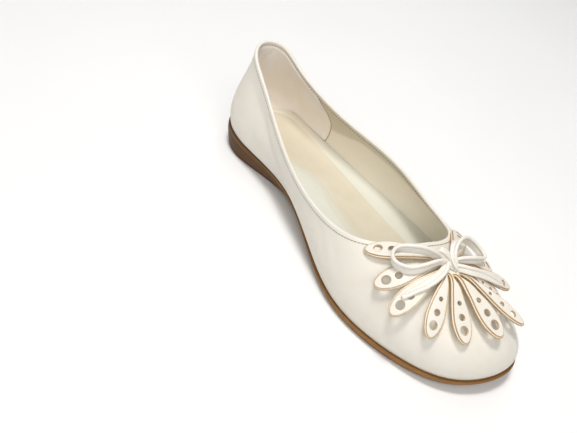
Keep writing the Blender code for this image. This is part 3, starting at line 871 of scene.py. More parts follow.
@dataclass
class Last:
    """The shoe's form: a loop of stations round the sole's edge, and the side above it."""

    columns: int = 384
    samples: int = 140
    length: float = 250.0
    heel_back_y: float = 30.0
    gap: float = 0.3
    top_pull: float = 2.0
    tangent_step: float = 1 / 88
    top_heights: Pairs = ((0.00, 17.7), (0.12, 14.2), (0.30, 11.6), (0.45, 8.2),
                          (0.60, 5.6), (0.72, 4.9), (0.85, 6.2), (0.95, 9.0), (1.00, 11.2))
    arch_lift: float = 3.0
    arch_share: Tuple[float, float] = (0.24, 0.38)
    toe_spring: float = 6.5
    toe_share: float = 0.80
    heel_spring: float = 2.0
    heel_share: float = 0.04

    def share(self, y: np.ndarray) -> np.ndarray:
        """0 at the outsole's heel end, 1 at its toe end."""
        return (self.heel_back_y - y) / self.length

    def sole_top(self, y: np.ndarray) -> np.ndarray:
        """Height of the outsole's top face."""
        return table(self.top_heights, self.share(y))

    def sole_bottom(self, y: np.ndarray) -> np.ndarray:
        """Height of the bottom: flat under heel and forefoot, a sine arch, sprung ends.

        Args:
            y: places along the shoe.

        Returns:
            The heights.
        """
        s = self.share(y)
        heel, toe = self.heel_share, self.toe_share
        start, span = self.arch_share
        back = self.heel_spring * np.clip((heel - s) / heel, 0, 2) ** 2
        arch = self.arch_lift * np.sin(np.pi * np.clip((s - start) / span, 0, 1)) ** 2
        return back + arch + self.toe_spring * np.clip((s - toe) / (1 - toe), 0, 2) ** 1.6

    def stations(self, places: np.ndarray) -> np.ndarray:
        """Station values at places from 0 to 1 round the loop, by a closed cubic spline.

        Args:
            places: places round the loop.

        Returns:
            The rows of values, in the order of STATIONS.
        """
        rows = STATIONS
        total = len(rows)
        one = np.eye(total)
        bend = np.linalg.solve(
            4 * one + np.roll(one, 1, 0) + np.roll(one, -1, 0),
            6 * (np.roll(rows, -1, 0) - 2 * rows + np.roll(rows, 1, 0)))
        place = np.mod(places, 1.0) * total
        left = np.minimum(place.astype(int), total - 1)
        right = (left + 1) % total
        t = (place - left)[:, None]
        return ((1 - t) * rows[left] + t * rows[right]
                + ((1 - t) ** 3 - (1 - t)) * bend[left] / 6
                + (t ** 3 - t) * bend[right] / 6)

    def __post_init__(self) -> None:
        """Works out the loop, its outward normals and the dense side sheet.

        Each column of the sheet is a cubic Bezier curve from the feather to the topline.
        Its first handle leans out and rises; its last one hangs below the topline and is
        pulled back toward the feather.
        """
        u = np.arange(self.columns) / self.columns
        self.rows = rows = self.stations(u)
        ahead = self.stations(u + self.tangent_step)
        behind = self.stations(u - self.tangent_step)
        along = ahead[:, :2] - behind[:, :2]
        self.normal = unit(np.column_stack([-along[:, 1], along[:, 0], 0 * u]))
        self.edge = np.column_stack([rows[:, 0], rows[:, 1], self.sole_top(rows[:, 1])])
        feather = self.edge + [0, 0, self.gap]
        top = rows[:, 2:5]
        lean, rise, pull, drop = (rows[:, k, None] for k in (5, 6, 7, 8))
        up = np.array([0.0, 0.0, 1.0])
        across = (top - feather) * [1, 1, 0]
        low = feather + self.normal * lean + up * rise
        high = top - across * pull + self.normal * self.top_pull * (1 - pull) - up * drop
        v = np.linspace(0, 1, self.samples)[:, None, None]
        self.line = ((1 - v) ** 3 * feather + 3 * (1 - v) ** 2 * v * low
                     + 3 * (1 - v) * v * v * high + v ** 3 * top)
        self.run = run_length(self.line)
        self.total = self.run[-1]

    def stepped(self, distance: np.ndarray, height: np.ndarray) -> np.ndarray:
        """The sole's edge moved out by distance, at these heights.

        Args:
            distance: how far out, for each column.
            height: height for each column.

        Returns:
            The ring of points.
        """
        ring = self.edge + self.normal * np.reshape(distance, (-1, 1))
        ring[:, 2] = height
        return ring


# ================================================================ upper
@dataclass(frozen=True)
class Crease:
    """A soft trough (or a ridge, if depth is negative) along a path on the upper."""

    path: Tuple[Tuple[float, float, float], ...]
    depth: float
    width: float
    ends: Tuple[Edge, Edge] = ((0.0, 0.3), (1.0, 0.7))
    at_ends: float = 0.15

    def dent(self, points: np.ndarray) -> np.ndarray:
        """Depth at each point: a bell of the distance to the path, faded at its ends.

        Args:
            points: points of the surface.

        Returns:
            The depths.
        """
        line = smooth_path(self.path, 24)
        away = np.linalg.norm(points[..., None, :] - line, axis=-1)
        nearest = away.min(-1)
        place = away.argmin(-1) / (len(line) - 1)
        fade = self.at_ends + (1 - self.at_ends) * window(place, *self.ends)
        return self.depth * fade * np.exp(-(nearest / self.width) ** 2)


@dataclass
class Upper:
    """White leather upper with its folded topline, lining and seams.

    band_rows are distances below the topline. The outer leather goes on over the edge and
    ends inside, fold_short rows before the last of them. turned rows step the leather in
    under the foot: how far out, how far up, and the height over the feather that is noted.
    """

    last: Last
    wall: float = 1.8
    band: float = 4.0
    band_step: float = 0.32
    band_slope: float = 1.6
    band_inside: float = 0.2
    seam_sunk: float = 0.15
    seam_wide: float = 0.24
    body_rows: int = 44
    fold_short: int = 4
    pitch: float = 2.1
    stitch: float = 1.2
    thread: float = 0.18
    thread_sunk: float = 0.05
    lining_pull: float = 0.22
    turned: Path = ((-2.0, -0.5, -1.2), (-0.5, -0.45, -0.5))
    crease_below: Edge = (4.0, 8.0)
    crease_above: Edge = (0.0, 5.0)
    heel_zone: Edge = (-38.0, -24.0)
    fore_zone: Edge = (-70.0, -125.0)
    # pull_zone and pull_depth place the lining's recess under the topline and its painted
    # shade.
    pull_zone: Edge = (6.0, -19.0)
    pull_depth: Pairs = ((-150, 7.0), (-100, 7.5), (-70, 8.5), (-58, 9.8), (-46, 16.5),
                         (-31, 25.0), (-10, 30.0))
    band_rows: Tuple[float, ...] = (3.8, 3.5, 3.3, 3.17, 3.05, 2.93, 2.8, 2.6, 2.3, 1.9,
                                    1.5, 1.1, 0.75, 0.45, 0.22, 0.07, 0.0)
    creases: Tuple[Crease, ...] = (
        Crease(((-16.5, 10.5, 56.0), (-19.5, -2.0, 50.0), (-24.0, -20.0, 42.5),
                (-29.0, -36.0, 33.5), (-31.5, -58.0, 25.0)), 0.55, 3.4),
        Crease(((-20.0, 8.0, 44.0), (-26.5, -12.0, 36.0), (-30.0, -34.0, 26.5)),
               -0.30, 4.5),
        Crease(((9.3, -202.0, 33.0), (10.3, -209.5, 27.8), (11.0, -214.5, 23.0)),
               0.40, 1.8),
        Crease(((14.5, -197.0, 33.0), (16.5, -205.0, 27.0)), 0.30, 1.8),
        Crease(((-25.2, -192.0, 29.0), (-26.0, -197.5, 24.5), (-26.9, -202.5, 20.0)),
               0.16, 1.1),
        Crease(((-17.4, -202.0, 28.0), (-18.2, -210.5, 19.5)), 0.14, 1.0),
        Crease(((-38.0, -97.0, 39.0), (-41.5, -107.0, 31.0), (-43.5, -116.0, 22.0)),
               0.35, 2.6),
        Crease(((-39.0, -110.0, 38.0), (-43.0, -121.0, 31.0), (-46.0, -131.0, 22.0)),
               0.28, 2.6),
        Crease(((33.0, -96.0, 38.0), (38.5, -106.0, 30.0), (41.5, -116.0, 20.0)),
               0.32, 2.6),
        Crease(((32.0, -112.0, 37.0), (39.5, -124.0, 28.0)), 0.25, 2.6),
        Crease(((18.5, 8.0, 52.0), (24.5, -14.0, 42.0), (29.0, -40.0, 30.0)), 0.40, 3.6),
        Crease(((-8.0, 24.5, 60.0), (0.0, 26.5, 55.0), (8.0, 24.5, 60.0)), 0.20, 2.4),
    )

    def profile(self, below: np.ndarray) -> Tuple[np.ndarray, np.ndarray]:
        """Outer and inner offset from the side sheet, at a distance below the topline.

        The folded band stands proud by a smooth step, the seam is a narrow bell-shaped
        groove, and the rim is a half round as wide as the wall.

        Args:
            below: distance below the topline.

        Returns:
            The outer and the inner offset.
        """
        proud = step((self.band - below) / self.band_slope)
        groove = self.seam_sunk * np.exp(-((below - SEAM_AT) / self.seam_wide) ** 2)
        out = self.band_step * proud - groove
        back = self.wall + self.band_inside * proud - groove
        half = (out + back) / 2
        round_ = np.sqrt(1 - (1 - np.clip(below / np.maximum(half, 0.1), 0, 1)) ** 2)
        middle = (out - back) / 2
        return middle + half * round_, middle - half * round_

    def sheets(self) -> Tuple[np.ndarray, np.ndarray, np.ndarray, np.ndarray]:
        """Outer face, inner face, distance below the topline and length from the feather.

        Returns:
            Those four grids; the last two hold one number for each point.
        """
        total = self.last.total
        body = np.linspace(0, 1, self.body_rows)[:, None] * (total - self.band - 0.1)
        want = np.concatenate([body, total - np.array(self.band_rows)[:, None]])
        base = at_length(self.last.line, self.last.run, want)
        face = grid_normals(base)
        face[0] = self.last.normal
        below = total - want
        out, back = self.profile(below)
        outer = base + face * out[..., None]
        dent = sum(crease.dent(outer) for crease in self.creases)
        dent *= window(below, self.crease_below) * window(want, self.crease_above)
        outer = outer - face * dent[..., None]
        back = back + self.lining_pull * self.pulled(base[..., 1], below)
        return outer, base + face * back[..., None], below, want

    def pulled(self, y: np.ndarray, below: np.ndarray) -> np.ndarray:
        """1 where the lining is pulled back under the topline, 0 where it stands fuller; it
        also masks the painted shade there.
        """
        depth = table(self.pull_depth, y)
        return step((depth - below) / (0.8 + 0.14 * depth)) * window(y, self.pull_zone)

    def make_shell(self) -> bpy.types.Object:
        """Closed wall: outer leather, half-round folded edge and inner lining.

        Returns:
            The shell.
        """
        outer, inner, below, want = self.sheets()
        self.inner = inner
        last = self.last
        foot_z = outer[0, :, 2]
        turned = [last.stepped(out, foot_z + up)[None] for out, up, _ in self.turned]
        rows = np.concatenate([*turned, outer])
        deep = np.concatenate([*(want[:1] + on for _, _, on in self.turned), want])
        high = np.concatenate([below[:1], below[:1], below])
        fold = len(self.band_rows) - self.fold_short
        lead = np.concatenate([rows, inner[::-1][:fold]])
        rim = np.concatenate([high, -below[::-1][:fold]])
        foot = np.concatenate([deep, want[::-1][:fold]])
        work = Patchwork("upper_shell")
        work.grid(lead, Finish.UPPER, wrap_columns=True, rim=rim, foot=foot,
                  back=window(lead[..., 1], self.heel_zone))
        lining = np.concatenate([inner[::-1][fold - 1:], rows[:1]])
        marks = np.concatenate([-below[::-1][fold - 1:], -below[:1]])
        # The pull mask also paints shade on the lining under the topline.
        work.grid(lining, Finish.LINING, wrap_columns=True, rim=marks,
                  fore=window(lining[..., 1], self.fore_zone),
                  pull=self.pulled(lining[..., 1], np.abs(marks)))
        return settle(work.build(), "white_leather", "upper")

    def seam_line(self, outward: np.ndarray) -> Tuple[np.ndarray, np.ndarray]:
        """Middles and directions of stitches evenly spaced round the topline.

        Args:
            outward: offset of the seam from the side sheet, for each column.

        Returns:
            The middles and the directions.
        """
        last, reach = self.last, 0.3
        middle = last.total - SEAM_AT
        row = at_length(last.line, last.run,
                        np.stack([middle - reach, middle, middle + reach]))
        loop = row[1] + grid_normals(row)[1] * outward[..., None]
        loop = np.concatenate([loop, loop[:1]])
        length = run_length(loop)[-1]
        count = int(length / self.pitch)
        want = (np.arange(count) + 0.5) * length / count
        return (path_at(loop, want),
                path_at(loop, want + reach) - path_at(loop, want - reach))

    def make_seams(self) -> bpy.types.Object:
        """Lock stitches in the groove under the folded edge, outside and inside.

        Returns:
            The stitches of both seams, as one piece.
        """
        out, back = self.profile(np.full(self.last.columns, SEAM_AT))
        work = Patchwork("topline_stitches")
        for offset in (out + self.thread_sunk, back - self.thread_sunk):
            middle, along = self.seam_line(offset)
            work.grids(stitches(middle, along, self.stitch, self.thread),
                       Finish.SEAM_THREAD, wrap_columns=True)
        return settle(work.build(ALL_SMOOTH), "white_leather")


@dataclass
class HeelLining:
    """Suede piece inside the back, from its curved front edges down to the insole.

    low and high are where it starts and ends up the wall, front is how far its front edges
    reach round the shoe at each height, and length is about half its way round in mm.
    off_wall is how far its face and its underside stand off the wall. The cup's fields are
    its circle on the insole and how the low rows swing in to it.
    """

    last: Last
    upper: Upper
    low: float = 0.09
    high: float = 0.992
    front: Pairs = ((0.0, 0.165), (0.2, 0.167), (0.45, 0.1695), (0.7, 0.169),
                    (0.82, 0.164), (0.9, 0.155), (1.0, 0.150))
    rows: int = 46
    columns: int = 150
    length: float = 60.0
    thick: float = 0.62
    ease: float = 0.5
    fade: float = 6.0
    off_wall: Tuple[float, float] = (0.10, 0.02)
    wave: float = 0.12
    trough: Crease = Crease(((0.0, 22.3, 60.2), (4.9, 20.6, 62.8), (6.8, 18.3, 68.2)),
                            0.45, 0.7)
    wave_rate: Tuple[float, float] = (70.0, 9.0)
    cup_radius: float = 22.3
    cup_wider: float = 2.6
    cup_wider_deg: Edge = (0.0, 62.0)
    cup_ends_deg: Edge = (95.0, 70.0)
    cup_height: Tuple[float, float] = (4.0, 0.9)
    cup_lift: Tuple[float, float] = (0.25, 0.6)
    lift_swing: Edge = (4.0, 0.0)
    least_swing: Edge = (0.0, 2.0)
    lip_zone: Edge = (4.9, 0.9)

    def cup(self, base: np.ndarray, under: np.ndarray) -> np.ndarray:
        """Swings the low rows in to a circle on the insole, as the cup of the heel.

        The swing falls as a square of the height that is left. The circle is a little
        wider toward its sides, and the swing ends before them.

        Args:
            base: the piece's grid on the inner wall.
            under: height over its lower edge, in mm along the wall.

        Returns:
            The grid with its cup.
        """
        spoke = (base[0] - (*Insole.heel_middle, 0.0)) * (1.0, 1.0, 0.0)
        reach = np.linalg.norm(spoke, axis=1)
        turn = np.degrees(np.arctan2(np.abs(spoke[:, 0]), spoke[:, 1]))
        wider = self.cup_wider * window(turn, self.cup_wider_deg)
        swing = np.maximum(reach - self.cup_radius - wider, 0)
        swing *= window(turn, self.cup_ends_deg)
        landing = base[0] - unit(spoke) * swing[:, None]
        landing[:, 2] = self.last.sole_top(landing[:, 1]) + self.last.gap + Insole.thick
        lift, more = self.cup_lift
        landing[:, 2] += lift + more * window(swing, self.lift_swing)
        height, per_swing = self.cup_height
        fall = np.clip(1 - under / (height + per_swing * swing), 0, 1) ** 2
        share = fall * window(swing, self.least_swing)
        return base + (landing - base[0]) * share[..., None]

    def make(self) -> bpy.types.Object:
        """Builds the piece: its face, its underside and the four narrow sides.

        Its grid runs from one front edge round the heel to the other, on the inner wall.
        The thickness eases at the edges as a quarter circle, with a faint sine wave.

        Returns:
            The heel piece.
        """
        low, high = self.low, self.high
        rows = np.linspace(0, 1, self.rows)[:, None]
        columns = np.linspace(-1, 1, self.columns)[None]
        rise = low + (high - low) * rows
        place = table(self.front, rise) * columns
        inner = self.upper.inner[:self.upper.body_rows + 4]
        row = np.clip(rise, 0, 1) * (len(inner) - 1.001) + 0 * columns
        column = np.mod(place, 1.0) * self.last.columns
        base = pick(inner, row, column)
        out = unit(pick(grid_normals(inner), row, column))
        aside = (1 - np.abs(columns)) * self.length + 0 * rows
        under = rows * (high - low) * self.last.total[0] + 0 * columns
        edge = np.minimum(aside, under)
        quarter = 1 - (1 - np.clip(edge / self.ease, 0, 1)) ** 2
        thick = self.thick * np.sqrt(np.clip(quarter, 0, 1)) * step(under[::-1] / self.fade)
        round_, up = self.wave_rate
        wave = self.wave * np.sin(place * round_ + rise * up) * step(edge / self.fade)
        cup = self.cup(base, under)
        face, back = self.off_wall
        relief = thick + face + wave * 0.5 - self.trough.dent(base)
        top, under_side = cup - out * relief[..., None], cup - out * back
        lip = window(under[::-1], self.lip_zone)
        work = Patchwork("heel_lining")
        work.grid(top, Finish.SUEDE, edge=aside, lip=lip)
        for a, b in ((top[0], under_side[0]), (top[-1], under_side[-1]),
                     (top[:, 0], under_side[:, 0]), (top[:, -1], under_side[:, -1])):
            work.grid(np.stack([a, b]), Finish.SUEDE)
        work.grid(under_side, Finish.SUEDE, edge=aside, lip=lip)
        return settle(work.build(), "cream_sock")


# ================================================================ insole and outsole
def toward_middle(edge: np.ndarray, heel_keep: int, toe_keep: int,
                  near: Sequence[float], rest: int) -> Tuple[np.ndarray, np.ndarray]:
    """Plan rings from a closed edge in to its long middle line.

    A ring's point lies at a set distance from the edge on the straight way to the middle
    line; the last rings share out what is left.

    Args:
        edge: closed loop of points from the heel round the lateral side.
        heel_keep: columns from the heel where the middle line starts.
        toe_keep: the same from the toe.
        near: distances of the first rings.
        rest: number of rings over what is left, the last one on the middle line.

    Returns:
        Rings shaped (rows, columns, 3), and their distances from the edge.
    """
    count = len(edge)
    middle = (edge + edge[-np.arange(count) % count]) / 2
    place = np.minimum(np.arange(count), count - np.arange(count))
    target = middle[np.clip(place, heel_keep, count // 2 - toe_keep)]
    way = (target - edge) * [1, 1, 0]
    span = np.linalg.norm(way, axis=1)
    fractions = np.linspace(0, 1, rest + 1)[1:, None]
    first = np.repeat(np.array(near)[:, None], count, 1)
    away = np.concatenate([first, first[-1] + (span - first[-1]) * fractions])
    return edge + way * (away / span)[..., None], away


@dataclass
class Insole:
    """Insole: board, foam and sock sheet, with a moulded rim that climbs to the wall.

    near and far_rings are the rings of its plan, and keep says where their middle line
    ends. press, dish and ease are a depth each and the distance that it takes.
    """

    last: Last
    upper: Upper
    thick: float = 3.2
    near: Tuple[float, ...] = (0.0, 0.1, 0.3, 0.6, 1.0, 1.6, 2.4, 3.4, 4.6, 6.0, 7.6, 9.4)
    far_rings: int = 22
    keep: Tuple[int, int] = (46, 44)
    wall_gap: float = 0.15
    under_gap: float = 0.05
    rim_lift: float = 1.0
    rim_wide: Tuple[float, float] = (8.5, 4.4)
    arch_pad: float = 1.4
    arch_zone: Tuple[Edge, Edge] = ((-8.0, -38.0), (-130.0, -85.0))
    medial_zone: Edge = (4.0, -8.0)
    # back_zone: where the rim turns warmer and is painted lighter toward the heel.
    back_zone: Edge = (-50.0, -5.0)
    pale_wide: float = 9.0
    press: Tuple[float, float] = (0.16, 0.55)
    dish: Tuple[float, float] = (0.25, 5.0)
    ease: Tuple[float, float] = (0.55, 0.6)
    outside: float = -4.0
    lateral_edge: Pairs = ((-215, 4.0), (-190, 12.0), (-150, 20.0), (-120, 22.4),
                           (-107, 22.0), (-88, 21.6), (-69, 21.4), (-48, 20.9),
                           (-29, 21.2), (-18, 21.2), (-5, 20.5))
    medial_edge: Pairs = ((-215, -9.0), (-150, -14.0), (-120, -10.0), (-96, -7.9),
                          (-87, -7.5), (-77, -5.9), (-68, -2.7), (-56, -1.9), (-50, -4.0),
                          (-43, -9.0), (-30, -14.5), (-18, -17.5), (-5, -18.5))
    heel_middle: Tuple[float, float] = (1.0, -5.0)
    heel_radius: float = 19.5

    def panel(self, x: np.ndarray, y: np.ndarray, away: np.ndarray) -> np.ndarray:
        """Distance inside the panel's border: its two sides, a half circle behind, the rim.

        Args:
            x: lateral places.
            y: places along the shoe.
            away: distance from the insole's edge.

        Returns:
            The distances, negative outside the panel.
        """
        inside = np.minimum(table(self.lateral_edge, y) - x, x - table(self.medial_edge, y))
        x0, y0 = self.heel_middle
        inside = np.where(y > y0, self.heel_radius - np.hypot(x - x0, y - y0), inside)
        return np.minimum(inside, away - self.rim_wide[1])

    def make(self) -> bpy.types.Object:
        """Builds the insole: side, eased edge, rim, panel and flat underside.

        The rim climbs to the wall and the arch pad rises by smooth steps, the panel's
        border is pressed in as a bell of the distance to it, and its middle is dished.

        Returns:
            The insole.
        """
        last = self.last
        inner = self.upper.inner[:16]
        climb = inner[..., 2] - inner[:1, :, 2]
        want = np.full((1, last.columns), self.thick + self.rim_lift)
        edge = at_length(inner, climb, want)[0] - last.normal * self.wall_gap
        plan, away = toward_middle(edge, *self.keep, self.near, self.far_rings)
        x, y = plan[..., 0], plan[..., 1]
        floor = last.sole_top(y) + last.gap
        arch = window(y, *self.arch_zone)
        medial = window(x, self.medial_zone) * arch
        lift = self.rim_lift * (1 - step(away / self.rim_wide[0])) + self.arch_pad * medial
        inside = self.panel(x, y, away)
        pale = (1 - step((x - table(self.medial_edge, y)) / self.pale_wide)) * arch
        press = self.press[0] * np.exp(-(inside / self.press[1]) ** 2) * (1 - pale)
        dish = -self.dish[0] * step(inside / self.dish[1])
        ease = self.ease[0] * (1 - np.clip(away / self.ease[1], 0, 1)) ** 2
        top, bottom = plan.copy(), plan.copy()
        top[..., 2] = floor + self.thick + lift - press + dish - ease
        under = np.stack([edge, edge]) - last.normal * self.under_gap
        under[0, :, 2] = floor[0] + self.thick * 0.5
        under[1, :, 2] = floor[0] + self.under_gap
        side = np.concatenate([top[:1], under])
        bottom[..., 2] = floor + self.under_gap
        bottom[0] = under[1]
        work = Patchwork("insole_sock")
        work.grid(top, Finish.SOCK, wrap_columns=True, panel=inside, pale=pale,
                  back=window(y, self.back_zone))
        for rows in (side, bottom):
            work.grid(rows, Finish.SOCK, wrap_columns=True, panel=np.array(self.outside))
        return settle(work.build(), "cream_sock", "insole")


@dataclass
class Outsole:
    """Moulded gum outsole: lip, convex side, low wedge heel, border groove and tread.

    near, far_rings and keep are as for the insole. Zones are along the shoe, except that
    low_zone is a share of the sole's height.
    """

    last: Last
    border: Tuple[float, float] = (2.4, 1.1)
    groove: float = 0.9
    tread: float = 0.75
    tread_pitch: float = 8.0
    tread_wave: Tuple[float, float] = (2.0, 17.0)
    rows_per_span: int = 4
    tread_cut: Edge = (0.45, 0.90)
    tread_inside: Edge = (4.6, 5.8)
    forefoot_zone: Tuple[Edge, Edge] = ((-96.0, -100.0), (-205.0, -201.0))
    heel_zone: Tuple[Edge, Edge] = ((-30.0, -26.0), (24.0, 21.0))
    lip_lift: float = 1.8
    lip_zone: Tuple[Edge, Edge] = ((-62.0, -26.0), (24.0, 6.0))
    # highlight_at: depth under the top and width of the painted highlight band on the side
    highlight_at: Tuple[float, float] = (0.9, 0.55)
    dark_zone: Edge = (-92.0, -26.0)
    low_zone: Edge = (0.42, 0.0)
    keep: Tuple[int, int] = (76, 74)
    near: Tuple[float, ...] = (0.0, 0.7, 1.4, 1.8, 2.1, 2.4, 2.7, 3.0, 3.4, 4.0, 4.7,
                               5.5, 6.3)
    far_rings: int = 34
    cover_rings: int = 8
    cover_inside: float = -6.0

    def relief(self, plan: np.ndarray, away: np.ndarray) -> np.ndarray:
        """Depth of the pattern in the bottom.

        A bell-shaped groove follows the border. Waved grooves cross the forefoot and the
        heel: a smooth comb of the y coordinate, shifted by a sine of x.

        Args:
            plan: points of the bottom.
            away: their distance from its edge.

        Returns:
            The depths.
        """
        x, y = plan[..., 0], plan[..., 1]
        place, wide = self.border
        rim = self.groove * np.exp(-((away - place) / (0.55 * wide)) ** 2)
        high, long = self.tread_wave
        waved = y + high * np.sin(x * math.tau / long)
        comb = np.cos(waved * math.tau / self.tread_pitch)
        zone = window(y, *self.forefoot_zone) + window(y, *self.heel_zone)
        cut = self.tread * window(comb, self.tread_cut) * zone
        return rim + cut * window(away, self.tread_inside)

    def make(self) -> bpy.types.Object:
        """Builds the outsole from its rings, top to bottom.

        The side's rings step out from the cover to the lip, round over, and tuck in under
        the foot. At the heel the lip is lifted by two smooth steps of the y coordinate.

        Returns:
            The outsole.
        """
        last = self.last
        flange, tuck = last.rows[:, 9], last.rows[:, 10]
        y = last.edge[:, 1]
        top, bottom = last.sole_top(y), last.sole_bottom(y)
        deep = top - bottom
        inside = last.edge + self.cover_inside * last.normal
        lift = self.lip_lift * window(y, *self.lip_zone)
        side = smooth_rows(np.stack([
            last.stepped(self.cover_inside + 0 * y, last.sole_top(inside[:, 1])),
            last.stepped(-0.8 + 0 * y, top - 0.05),
            last.stepped(flange - 1.10, top),
            last.stepped(flange - 0.80, top + 0.05 + lift),
            last.stepped(flange - 0.16, top - 0.40 + lift),
            last.stepped(flange + 0.05, top - 0.24 * deep),
            last.stepped(0.62 * flange + 0.38 * tuck, top - 0.56 * deep),
            last.stepped(0.15 * flange + 0.85 * tuck, bottom + 0.14 * deep + 0.6),
            last.stepped(tuck - 0.35, bottom + 0.30),
            last.stepped(tuck - 1.2, bottom),
        ]), self.rows_per_span)
        under, away = toward_middle(side[-1], *self.keep, self.near, self.far_rings)
        under[..., 2] = last.sole_bottom(under[..., 1]) + self.relief(under, away)
        under[0] = side[-1]
        cover, _ = toward_middle(side[0], *self.keep, (0.0,), self.cover_rings)
        cover[..., 2] = last.sole_top(cover[..., 1])
        work = Patchwork("outsole_gum")
        # lip carries the painted highlight band just under the top of the side.
        highlight_low, highlight_wide = self.highlight_at
        for rows in (side, under, cover[::-1]):
            z = rows[..., 2]
            work.grid(rows, Finish.RUBBER, wrap_columns=True,
                      heel=window(rows[..., 1], self.dark_zone),
                      lip=np.exp(-((z - (top - highlight_low)) / highlight_wide) ** 2),
                      low=window((z - bottom) / deep, self.low_zone))
        return settle(work.build(60.0), "gum_rubber", "outsole")


# ================================================================ the petal fan
@dataclass(frozen=True)
class Petal:
    """One petal: bearing from the fan's axis in degrees, size, and bend as 1/radius.

    slit is how far from the hub's centre the slit ends between it and the next petal, and
    sway is how far its middle bows to the side.
    """

    bearing: float
    length: float
    width: float
    bend: float
    twist: float = 0.0
    slit: float = 9.0
    sway: float = 0.0


